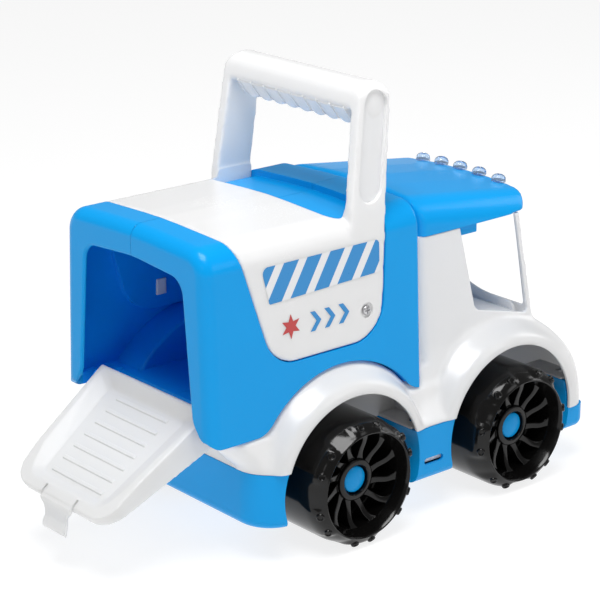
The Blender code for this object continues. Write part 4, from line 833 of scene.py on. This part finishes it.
saddleSet = {
    "depth": 4.0, "play": 0.4, "rearLow": -51.2, "rearLean": 0.3265, "frontLow": 33.3, "frontLean": 0.07,
    "low": 120.2, "radius": 24.5, "topFront": 2.0, "screwX": 21.4, "screwZ": 139.0, "screwBore": 1.6,
    "ring": 4.8, "recess": 1.2, "legRear": 11.5, "legRearHigh": 18.6, "legFrontHigh": 44.0, "legBend": 20.0,
    "foot": 8.0, "halfLow": 68.2, "halfHigh": 62.8, "thick": 8.0, "top": 275.5, "under": 255.0,
    "gripEdge": 11.0, "fingers": 8, "fingerBulge": 2.2, "fingerDrop": 6.5, "fingerTop": 264.0,
    "slotWidth": 18.5, "slotDepth": 2.8, "slotLow": 203.5, "slotHigh": 270.0, "slotMiddle": 236.0,
    "clip": ((-35.0, 126.5), (-27.5, 137.0)), "voxel": 1.1, "melt": 4}


def bodyHalf(z):
    share = (z - truck["bodyLow"]) / (truck["bodyTop"] - truck["bodyLow"])
    return truck["bodyHalfLow"] + (truck["bodyHalfHigh"] - truck["bodyHalfLow"]) * share


def bodySection(inset, floor):
    shoulder = truck["bodyTop"] - truck["bodyCrown"] - inset
    low, high, r = bodyHalf(floor) - inset, bodyHalf(shoulder) - inset, truck["bodyCorner"] - inset
    crown = (0, truck["bodyTop"] - inset, truck["crown"])
    return rounded([(-low, floor, 0), (low, floor, 0), (high, shoulder, r), crown, (-high, shoulder, r)], 5)


def bodyBlock(inset, floor):
    b, rear, front = bodySet, truck["bodyRear"] + inset, truck["bodyFront"] - inset
    bm = slab(bodySection(inset, floor), "x", rear, front)

    def aboveOrOuter(co):
        return co.z > floor + 0.01 or abs(co.y) > 60

    ease(bm, b["rearEdge"] - inset, 8, lambda co: co.x < rear + 0.01 and aboveOrOuter(co))
    if not inset:
        ease(bm, b["lowEdge"], 5, lambda co: co.z < floor + 0.01 and co.x < front - 1)
        ease(bm, b["frontEdge"], 4, lambda co: co.x > front - 0.01 and aboveOrOuter(co))
    return bm


def saddleOutline(grow):
    s = saddleSet
    top = s["top"] + s["depth"]
    rise = top - s["low"]
    rear, front = s["rearLow"] - grow, s["frontLow"] + grow
    return rounded([(rear - s["rearLean"] * rise, top, 0), (rear, s["low"] - grow, s["radius"] + grow),
                    (front, s["low"] - grow, s["radius"] + grow), (front + s["frontLean"] * rise, top, 0)], 5)


def saddleRoom(grow, depth):
    # what the saddle takes from the body, outside a section set in by its depth
    s, far = saddleSet, truck["far"]
    room = block(slab(saddleOutline(grow), "y", -far, far))
    return cut(room, slab(bodySection(depth, s["low"] - s["radius"]), "x", -far, far))


def archOutline(radius, base, fillet):
    rise = base - truck["wheelRadius"]
    centreX = math.sqrt((radius + fillet) ** 2 - (rise + fillet) ** 2)
    tilt = math.atan2(rise + fillet, centreX)
    corner = []
    for k in range(13):
        angle = -math.pi / 2 - (math.pi / 2 - tilt) * k / 12
        corner.append((centreX + fillet * math.cos(angle), base + fillet + fillet * math.sin(angle)))
    arc = []
    for k in range(1, 48):
        angle = tilt + (math.pi - 2 * tilt) * k / 48
        arc.append((radius * math.cos(angle), truck["wheelRadius"] + radius * math.sin(angle)))
    other = [(-x, z) for x, z in reversed(corner)]
    return [(centreX, base - 8)] + corner + arc + other + [(-centreX, base - 8)]


def openingOutline(grow=0.0):
    b, low = bodySet, truck["bodyLow"]
    half = [(b["legHalf"] + grow, low - 4, 0), (b["legHalf"] + grow, low, 0),
            (b["openLow"] + grow, b["legTop"], b["legRadius"]),
            (b["openHigh"] + grow, b["openTop"] + grow - b["openCrown"], b["openCorner"] + grow)]
    crown = (0, b["openTop"] + grow, 100)
    return rounded([(-y, z, r) for y, z, r in half] + [crown] + half[::-1], 6)


def doorway():
    # the rear opening, flared at the outside so that its edge comes out rounded
    e, rear = bodySet["openEdge"], truck["bodyRear"]
    stages = [(-20.0, e + 1.0), (-0.4, e + 1.0)]
    for step in range(6):
        turn = math.radians(18 * step)
        stages.append((e * (1 - math.cos(turn)), e * (1 - math.sin(turn))))
    stages.append((2 * truck["wall"], 0.0))
    return loft([[(rear + x, *point) for point in openingOutline(grow)] for x, grow in stages])


def bulge(radius, inner, outer, side, edge):
    near, far = ends(side, inner, outer)
    face = near if side > 0 else far
    bm = slab(archOutline(radius, truck["bodyLow"], 2.0), "y", near, far)
    if edge:
        ease(bm, edge, 5, lambda co: abs(co.y - face) < 0.01 and co.z > truck["bodyLow"] - 7)
    return bm


def makeBody():
    b, s, far, wall = bodySet, saddleSet, truck["far"], truck["wall"]
    low, screw = truck["bodyLow"], (saddleSet["screwX"], saddleSet["screwZ"])
    shell = block(bodyBlock(0, low))
    cut(shell, saddleRoom(s["play"], s["depth"]))
    hold = block(bodyBlock(wall, b["floor"]))
    cut(hold, saddleRoom(s["play"] + wall, s["depth"] + wall))
    for side in (-1, 1):
        cut(hold, bulge(b["bulge"], b["bulgeHalf"], far, side, b["bulgeEdge"]))
        cut(hold, bore(b["screwBoss"], *screw, *ends(side, bodyHalf(s["screwZ"]) - 9, far)))
    cut(shell, hold)
    under, floor, middle = bodyHalf(low) - wall, b["floor"], truck["baseRear"]
    cut(shell, brick((middle, -under, -far), (truck["bodyFront"] - wall, under, floor - wall)))
    cut(shell, brick((truck["bodyRear"] + wall, 4 - under, -far), (middle, under - 4, floor + wall)))
    arch = archOutline(truck["flareRoot"] + truck["gap"], low, b["archFillet"])
    for side in (-1, 1):
        cut(shell, bulge(b["bulge"] - wall, b["bulgeHalf"] + wall, 66.0, side, 0))
        cut(shell, slab(arch, "y", *ends(side, 66.0, far)))
    cut(shell, doorway())
    px, pz = b["pivot"]
    rear, top = px - b["earReach"], pz + b["earReach"]
    ear = rounded([(rear, 80, 0), (-70.3, 80, 0), (-70.3, 86.6, 0), (-68, 86.6, 0), (-68, 88.6, 0),
                   (-74.5, 88.6, 0), (-74.5, top, 6.1), (rear, top, 6.1)])
    for side in (-1, 1):
        add(shell, slab(ear, "y", *ends(side, *b["earHalf"])))
        cut(shell, bore(s["screwBore"], *screw, *ends(side, 0, far), 24))
    return cut(shell, bore(b["pinBore"], px, pz, -61.2, 61.2))


bodyShell = makeBody()
for sideName, side in bothSides:
    near, outer = ends(side, bodySet["seam"] / 2, truck["far"])
    half = keep(block(fetch(bodyShell)), brick((-300, near, -300), (300, outer, 300)))
    finishPiece(half, f"vanBody_{sideName}", "truck", bodyBlueHoldShade, [f"body_{sideName}"])
bpy.data.objects.remove(bodyShell)
print("van body made")


# Saddle with the carrying handle

def legLean():
    return (saddleSet["legRearHigh"] - saddleSet["legRear"]) / (saddleSet["under"] - truck["bodyTop"])


def saddleFront(z):
    return saddleSet["frontLow"] + saddleSet["frontLean"] * (z - saddleSet["low"])


def legOutline():
    s, top = saddleSet, truck["bodyTop"]
    low = top - truck["bodyCorner"] - truck["bodyCrown"]
    depth = s["top"] - s["under"]
    return rounded([(s["legRear"], low, 0), (saddleFront(low), low, 0), (saddleFront(top), top, 0),
                    (s["legFrontHigh"], s["under"], s["legBend"]),
                    (s["legFrontHigh"] + legLean() * depth / 2, s["top"], s["gripEdge"]),
                    (s["legRearHigh"] + legLean() * depth, s["top"], s["gripEdge"]),
                    (s["legRearHigh"], s["under"], s["legBend"]), (s["legRear"], top, 0)]), low


def gripBar():
    s = saddleSet
    rear, front, top = s["legRearHigh"] + 0.4, s["legFrontHigh"] - 0.4, s["top"] - 0.4
    low, shift, end = s["under"] + 3.0, legLean() * (top - s["under"]), s["halfHigh"] - s["thick"] / 2
    outline = [(rear, low, 4), (front, low, 4), (front + shift / 2, top, 10.6), (rear + shift, top, 10.6)]
    return slab(rounded(outline, 6), "y", -end, end)


def restOutline(shoulder, height, toe, low):
    # the grip's underside, set in from its rear and front edges
    rear, front, top = saddleSet["legRearHigh"], saddleSet["legFrontHigh"], saddleSet["fingerTop"]
    return rounded([(rear + 4.0, top, 0), (rear + shoulder, height, 0), (rear + toe, low, 2.5),
                    (front - toe, low, 2.5), (front - shoulder, height, 0), (front - 4.0, top, 0)])


def fingerRests():
    # finger rests that bulge down between thin ribs
    s = saddleSet
    half = s["halfHigh"] - s["thick"] - s["gripEdge"] / 2
    pitch, low = 2 * half / s["fingers"], s["under"] - s["fingerDrop"]
    pads, fins = [], []
    for k in range(s["fingers"] + 1):
        y = pitch * k - half
        if k < s["fingers"]:
            pad = slab(restOutline(1.9, 258.5, 9.2, low + 1.6), "y", y + 0.1, y + pitch - 0.1)
            long = [e for e in pad.edges if abs(e.verts[0].co.y - e.verts[1].co.y) > 1]
            bmesh.ops.subdivide_edges(pad, edges=long, cuts=7, use_grid_fill=True)
            for v in pad.verts:
                if v.co.z < 257:
                    v.co.z -= s["fingerBulge"] * (1 - ((v.co.y - y) * 2 / pitch - 1) ** 2)
            pads.append(pad)
        fin = slab(restOutline(0.9, 259.2, 8.0, low + 0.9), "y", y - 0.8, y + 0.8)
        fins.append(ease(fin, 0.5, 2, lambda co: co.z < 256))
    return gather(pads), gather(fins)


def legSlot():
    # the long recess in a leg's outer face, and the middle of its round top
    s, half = saddleSet, saddleSet["slotWidth"] / 2
    bottom, top, r = s["slotLow"], s["slotHigh"], half * 0.98
    middle = (s["legRear"] + saddleFront(truck["bodyTop"])) / 2
    low, high = (middle + legLean() * (z - truck["bodyTop"]) for z in (bottom, top))
    corners = [(low - half, bottom, r), (low + half, bottom, r), (high + half, top, r), (high - half, top, r)]
    return rounded(corners, 6), (high, top - half)


def sinkSlot(skin, side, low):
    # the recess and its round boss lean with the leg
    s = saddleSet
    outline, (topX, topZ) = legSlot()
    lean = (s["halfLow"] - s["halfHigh"]) / (s["top"] - low)
    face = s["halfLow"] - lean * (s["slotMiddle"] - low)
    w, deep = s["slotWidth"] / 2 - 1.4, face - s["slotDepth"]
    tool = slab(outline, "y", *ends(side, deep, face + 20))
    boss = sided(lathe([(0, deep - 1), (w, deep - 1), (w, deep), (w - 1.2, deep + 0.4), (w - 3.2, deep + 0.7),
                        (0, deep + 0.9)], 40), side)
    shifted(boss, topX, 0, topZ)
    for bm in (tool, boss):
        for v in bm.verts:
            v.co.y -= side * lean * (v.co.z - s["slotMiddle"])
    add(cut(skin, tool), boss)


def makeSaddle():
    s, far, screw = saddleSet, truck["far"], (saddleSet["screwX"], saddleSet["screwZ"])
    skin = block(slab(saddleOutline(0), "y", -far, far))
    keep(skin, slab(bodySection(0, s["low"] - s["radius"]), "x", -far, far))
    outline, low = legOutline()
    legs = block(slab(outline, "y", -far, far))
    half, halfHigh, r = s["halfLow"], s["halfHigh"], s["gripEdge"]
    across = [(-half, low, 0), (half, low, 0), (halfHigh, s["top"], r), (-halfHigh, s["top"], r)]
    keep(legs, slab(rounded(across, 6), "x", -far, far))
    inner, high = half - s["thick"], halfHigh - s["thick"]
    floor, lid = truck["bodyTop"] - 0.4, s["top"] + 5
    cut(legs, slab([(-inner, floor), (inner, floor), (high, lid), (-high, lid)], "x", -far, far))
    add(skin, legs, gripBar())
    melt(skin, s["voxel"], s["melt"])
    cut(skin, slab(bodySection(s["depth"] - 0.3, s["low"] - 2 * s["radius"]), "x", -far, far))
    front, wide, r = s["topFront"], inner - 0.6, s["foot"]
    strip = rounded([(front, -wide, r), (far, -wide, 0), (far, wide, 0), (front, wide, r)], 6)
    cut(skin, slab(strip, "z", s["low"], truck["bodyTop"] + 1.4))
    add(skin, *fingerRests())
    (clipRear, clipLow), (clipFront, clipTop) = s["clip"]
    for side in (-1, 1):
        sinkSlot(skin, side, low)
        # a clip that shows inside the hold
        near, outer = ends(side, bodyHalf(132) - 7.2, bodyHalf(132) - 3.0)
        clip = brick((clipRear, near, clipLow), (clipFront, outer, clipTop))
        add(skin, ease(clip, 0.6, 2, lambda co: True))
        cut(skin, bore(s["ring"], *screw, *ends(side, bodyHalf(s["screwZ"]) - s["recess"], far), 40))
        cut(skin, bore(s["screwBore"], *screw, *ends(side, 0, far), 24))
    return skin


finishPiece(makeSaddle(), "saddleHandle", "truck", whitePlastic, ["saddle_handle"], 38)

screwSet = {"head": 2.9, "shank": 1.3, "length": 7.0, "height": 1.6, "cross": 0.75, "crossReach": 2.0}
for sideName, side in bothSides:
    seat = bodyHalf(saddleSet["screwZ"]) - saddleSet["recess"] + 0.3
    r, h, shank, tip = screwSet["head"], screwSet["height"], screwSet["shank"], seat - screwSet["length"]
    screw = block(lathe([(0, tip), (shank, tip), (shank, seat), (r, seat), (r, seat + h * 0.35),
                         (r * 0.9, seat + h * 0.7), (r * 0.6, seat + h * 0.95), (0, seat + h)], 40))
    arm, half = screwSet["crossReach"], screwSet["cross"] / 2
    for a, b in ((arm, half), (half, arm)):
        cut(screw, brick((-a, seat + 0.4, -b), (a, seat + 4, b)))
    bm = shifted(sided(fetch(screw), side), saddleSet["screwX"], 0, saddleSet["screwZ"])
    bpy.data.objects.remove(screw)
    finishPiece(block(bm), f"saddleScrew_{sideName}", "truck", steelPlate,
                [f"saddle_screw_{sideName}"])
for k in range(1, 5):
    plateNode(f"chassis_screw_{k}")
print("saddle and handle made")


# Cab roof and its lights

roofSet = {
    "low": 173.3, "rear": 68.0, "front": 172.5, "topRear": 199.5, "topFront": 186.5, "half": 66.2,
    "corner": 18.0, "crown": 3.5, "rearRadius": 8.0, "frontRadius": 7.0, "lip": 4.5, "lipStart": 150.0,
    "frontEdge": 166.0, "planRear": 11.0, "planFront": 18.0,
    "tab": ((103.5, 60.2, 167.0), (120.5, 62.2, 177.5)), "voxel": 1.3, "melt": 4, "lights": 5,
    "pitch": 17.6, "lightX": 166.5, "lightRadius": 4.75, "lightHeight": 5.2}


def roofFall():
    return (roofSet["topRear"] - roofSet["topFront"]) / (roofSet["front"] - roofSet["rear"])


def roofBlock(inset):
    r, far = roofSet, truck["far"]
    rear, front, half = r["rear"] + inset, r["front"] - inset, r["half"] - inset
    low, topRear, topFront = r["low"] - (2 if inset else 0), r["topRear"] - inset, r["topFront"] - inset
    corner, shoulder = r["corner"] - inset, topRear - r["crown"]
    foot, lip = [(rear, low, 0)], 0
    if not inset:  # material below the cut keeps the lower edge crisp behind the lip
        foot, lip = [(rear, low - 8, 0), (r["lipStart"], low - 8, 0), (r["lipStart"], low, 0)], r["lip"]
    roof = block(slab(rounded([*foot, (front, low, lip), (front, topFront, r["frontRadius"] - inset),
                               (rear, topRear, r["rearRadius"] - inset)]), "y", -far, far))
    across = [(-half, low - 20, 0), (half, low - 20, 0), (half - 2, shoulder, corner),
              (0, topRear + 0.5, truck["crown"]), (2 - half, shoulder, corner)]
    section = slab(rounded(across, 5), "x", 0, far)
    for v in section.verts:
        v.co.z -= roofFall() * (v.co.x - r["rear"])
    edge, wide, turn = r["frontEdge"] - inset, half + 0.2, r["planRear"] - inset
    plan = rounded([(rear, -wide, turn), (edge, -wide, r["planFront"]), (front + 2, 0, 200),
                    (edge, wide, r["planFront"]), (rear, wide, turn)], 5)
    return keep(roof, section, slab(plan, "z", 0, far))


def makeRoof():
    roof = melt(roofBlock(0), roofSet["voxel"], roofSet["melt"])
    cut(roof, brick((-300, -300, 0), (300, 300, roofSet["low"])))
    cut(roof, roofBlock(truck["wall"]))
    (x0, y0, z0), (x1, y1, z1) = roofSet["tab"]
    for side in (-1, 1):  # tabs that locate the roof inside the cab
        near, outer = ends(side, y0, y1)
        add(roof, brick((x0, near, z0), (x1, outer, z1)))
    return roof


def makeLight():
    r, h = roofSet["lightRadius"], roofSet["lightHeight"]
    light = lathe([(0, -2.9), (1.4, -2.9), (1.4, 0.9), (r - 1.3, 0.9), (r - 1.3, 0.2), (r, 0.2),
                   (r, h * 0.34), (r * 0.96, h * 0.52), (r * 0.84, h * 0.72), (r * 0.62, h * 0.88),
                   (r * 0.45, h * 0.93), (r * 0.36, h * 0.80), (0, h * 0.74)], 40)
    return turned(turned(light, math.pi / 2, "X"), math.atan(roofFall()), "Y")


finishPiece(makeRoof(), "cabRoof", "truck", bluePlastic, ["cab_roof"], 38)
for k in range(roofSet["lights"]):
    y = (k - (roofSet["lights"] - 1) / 2) * roofSet["pitch"]
    fall = max(0.25, (roofSet["crown"] + 0.5) * abs(y) / (roofSet["half"] - 2) - 0.5)
    z = roofSet["topRear"] - roofFall() * (roofSet["lightX"] - roofSet["rear"]) - fall
    light = block(shifted(makeLight(), roofSet["lightX"], y, z))
    finishPiece(light, f"roofLight_{k + 1}", "truck", lightClear, [f"roof_light_{k + 1}"])
print("roof made")


# Tailgate ramp: drawn closed up along -x from its pivot, then let down

gateSet = {
    "slope": 34.0, "heel": -5.5, "tip": 84.5, "halfHeel": 54.0, "halfTip": 46.5, "tipRadius": 16.0,
    "rim": 10.2, "rimBend": 57.0, "tipRim": 7.5, "rimWall": 2.4, "outerHeel": -10.6, "outerSlope": 0.14,
    "heelBlock": 7.5, "floor": 5.2, "panel": 2.2, "floorHalf": 37.5, "floorTip": 31.0, "floorEnd": 71.0,
    "floorStart": 5.0, "ribs": 7, "pitch": 9.6, "first": 9.5, "ribHalf": 25.2, "ribWidth": 2.6,
    "ribHeight": 0.8, "tongueRoot": 15.0, "tongueEnd": 12.0, "tongue": 19.0, "drop": 45.0,
    "tongueThick": 2.4, "slit": 1.6, "pin": 2.5, "pinReach": 4.2, "voxel": 0.65, "melt": 1}


def gateOutline(inset):
    g = gateSet
    heel, tip, r = g["halfHeel"] - inset, g["halfTip"] - inset, g["tipRadius"] - inset
    start, end = -g["heel"] - inset, inset - g["tip"]
    return rounded([(start, -heel, 0), (start, heel, 0), (end, tip, r), (end, -tip, r)])


def gateUnder(s):
    return gateSet["outerHeel"] + gateSet["outerSlope"] * s


def gateHollow():
    # the tray's inside: a flat floor whose walls lean out to the rim
    g, w = gateSet, gateSet["rimWall"]
    start, end, half, tip = -g["floorStart"], -g["floorEnd"], g["floorHalf"], g["floorTip"]
    floorPlan = rounded([(start, -half, 4), (start, half, 4), (end, tip, 6), (end, -tip, 6)])
    start, end, half, tip = -g["heel"] - 1.6, w - g["tip"], g["halfHeel"] - w, g["halfTip"] - 2 * w
    rimPlan = rounded([(start, -half, 3), (start, half, 3), (end, tip, 12), (end, -tip, 12)])
    return loft([[(x, y, g["floor"]) for x, y in floorPlan], [(x, y, g["rim"] + 0.5) for x, y in rimPlan]])


def gateTongue():
    # the springy latch, bent down past the tip
    g, far = gateSet, truck["far"]
    tip, half, thick = g["tip"], g["tongueRoot"], g["tongueThick"]
    root = tip - g["rimWall"]
    end = root + g["tongue"] * math.cos(math.radians(g["drop"])) + 1.3
    path = [(root, 4.9), (tip + 1.2, 4.4), (tip + 3.0, 2.6), (tip + 5.6, -2.2), (tip + 7.0, -4.2),
            (tip + 9.4, -6.0), (end, -8.3)]
    upper = [(x + 0.35, z + thick) for x, z in path]
    flap = block(slab([(-x, z) for x, z in path + upper[::-1]], "y", -far, far))
    edge = [(2 - root, half, 0), (-tip - 2.4, half, 1.5), (-tip - 4.2, half - 4, 2),
            (-tip - 7.5, half - 4.4, 2), (-end - 1, g["tongueEnd"], 2.5)]
    plan = edge + [(x, -y, r) for x, y, r in reversed(edge)]
    return keep(flap, slab(rounded(plan), "z", -far, far))


def makeGate():
    g, far, w = gateSet, truck["far"], gateSet["rimWall"]
    pan = block(slab(gateOutline(0), "z", -far, far))
    side = [(g["heel"], g["rim"], 2), (g["rimBend"], g["rim"], 30), (g["tip"], g["tipRim"], 2),
            (g["tip"], gateUnder(g["tip"]), 2), (0, gateUnder(0), 6), (g["heel"], 0, 4)]
    keep(pan, slab(rounded([(-s, n, r) for s, n, r in side]), "y", -far, far))
    cut(pan, gateHollow())
    under = block(slab(gateOutline(w), "z", -far, g["floor"] - g["panel"]))
    cut(under, brick((-g["heelBlock"], -far, -far), (-g["heel"], far, far)))
    cut(under, brick((-far, -far, -far), (-g["floorEnd"], far, far)))
    cut(pan, under)
    melt(pan, g["voxel"], g["melt"])
    for k in range(g["ribs"]):
        x, half = -g["first"] - k * g["pitch"], g["ribWidth"] / 2
        low, top = g["floor"] - 1, g["floor"] + g["ribHeight"]
        bar = brick((x - half, -g["ribHalf"], low), (x + half, g["ribHalf"], top))
        add(pan, ease(bar, 0.6, 3, lambda co: co.z > g["floor"] + 0.5))
    for hand in (-1, 1):
        near, outer = ends(hand, g["tongueRoot"], g["tongueRoot"] + g["slit"])
        cut(pan, brick((-far, near, -far), (w * 2.5 - g["tip"], outer, far)))
    add(pan, gateTongue())
    for hand in (-1, 1):
        add(pan, disc(g["pin"], *ends(hand, g["halfHeel"] - w, g["halfHeel"] + g["pinReach"]), 32))
    bm = turned(fetch(pan), math.radians(-g["slope"]), "Y")
    bpy.data.objects.remove(pan)
    return block(shifted(bm, bodySet["pivot"][0], 0, bodySet["pivot"][1]))


finishPiece(makeGate(), "tailgateRamp", "tailgate", milkyWhite, ["tailgate"], 38)
print("tailgate made")


# Stickers on the saddle's sides: a striped band with a star and chevrons under it

stickerSet = {
    "lift": 0.12, "thick": 0.06,
    "band": ((-58.6, 181.0, 4), (-53.4, 158.5, 1.2), (32.0, 161.0, 1.2), (32.0, 181.0, 3)),
    "stripeTurn": 58.0, "stripePitch": 0.0150, "stripeShare": 0.64, "star": (-38.0, 142.0, 7.6),
    "starWaist": 0.46, "chevronX": (-20.0, -9.0, 2.0), "chevronZ": 141.5, "chevronHalf": 6.0}


def printed(name, tone, other, mask=None):
    # a printed film with fine wear
    made = Finish(name)
    wear = made.noise(900.0, 3.0)
    share = mask(made) * (0.96 + wear * 0.04) if mask else wear * 0.3
    made.feed("Base Color", made.blend(share, (*tone, 1), (*other, 1)))
    made.feed("Roughness", 0.24 + wear * 0.12)
    return made.material


def stripes(made):
    x, z = (made.node("ShaderNodeSeparateXYZ", {}, {0: made.place}, k) for k in (0, 2))
    turn, pitch = math.radians(stickerSet["stripeTurn"]), stickerSet["stripePitch"]
    return ((x * math.sin(turn) - z * math.cos(turn)) % pitch) > pitch * stickerSet["stripeShare"]


printBlue, printRed = (0.02, 0.26, 0.62), (0.55, 0.05, 0.05)
bandPrint = printed("bandPrint", printBlue, (0.85, 0.85, 0.86), stripes)
redPrint = printed("redPrint", printRed, [c * 0.85 for c in printRed])
bluePrint = printed("bluePrint", printBlue, [c * 0.85 for c in printBlue])


def sticker(name, outline, side, finish):
    bm = slab(outline, "y", 0.0, stickerSet["thick"])
    for v in bm.verts:
        v.co.y = side * (bodyHalf(v.co.z) + stickerSet["lift"] + v.co.y)
    bmesh.ops.recalc_face_normals(bm, faces=bm.faces)
    finishPiece(block(bm), name, "truck", finish)


def starOutline():
    x, z, r = stickerSet["star"]
    points = []
    for k in range(12):
        reach, turn = r * (1.0 if k % 2 == 0 else stickerSet["starWaist"]), math.pi * k / 6
        points.append((x + reach * math.sin(turn), z + reach * math.cos(turn)))
    return points


def chevronOutline(x):
    z, half = stickerSet["chevronZ"], stickerSet["chevronHalf"]
    return [(x - 3.2, z - half), (x + 0.4, z - half), (x + 5.2, z), (x + 0.4, z + half), (x - 3.2, z + half),
            (x + 1.6, z)]


for sideName, side in bothSides:
    sticker(f"stickerBand_{sideName}", rounded(stickerSet["band"], 6), side, bandPrint)
    sticker(f"stickerStar_{sideName}", starOutline(), side, redPrint)
    for k, x in enumerate(stickerSet["chevronX"]):
        sticker(f"stickerChevron{k + 1}_{sideName}", chevronOutline(x), side, bluePrint)
print("stickers made")


# Floor

floorMesh = bmesh.new()
bmesh.ops.create_grid(floorMesh, x_segments=1, y_segments=1, size=8.0)
floor = block(floorMesh, "floor")
paper = Finish("paper", Roughness=0.9, Emission_Color=(1, 1, 1, 1), Emission_Strength=0.82)
fibre = paper.noise(300.0, 3.0)
paper.feed("Base Color", paper.blend(fibre, (0.26, 0.26, 0.26, 1), (0.24, 0.24, 0.24, 1)))
floor.data.materials.append(paper.material)
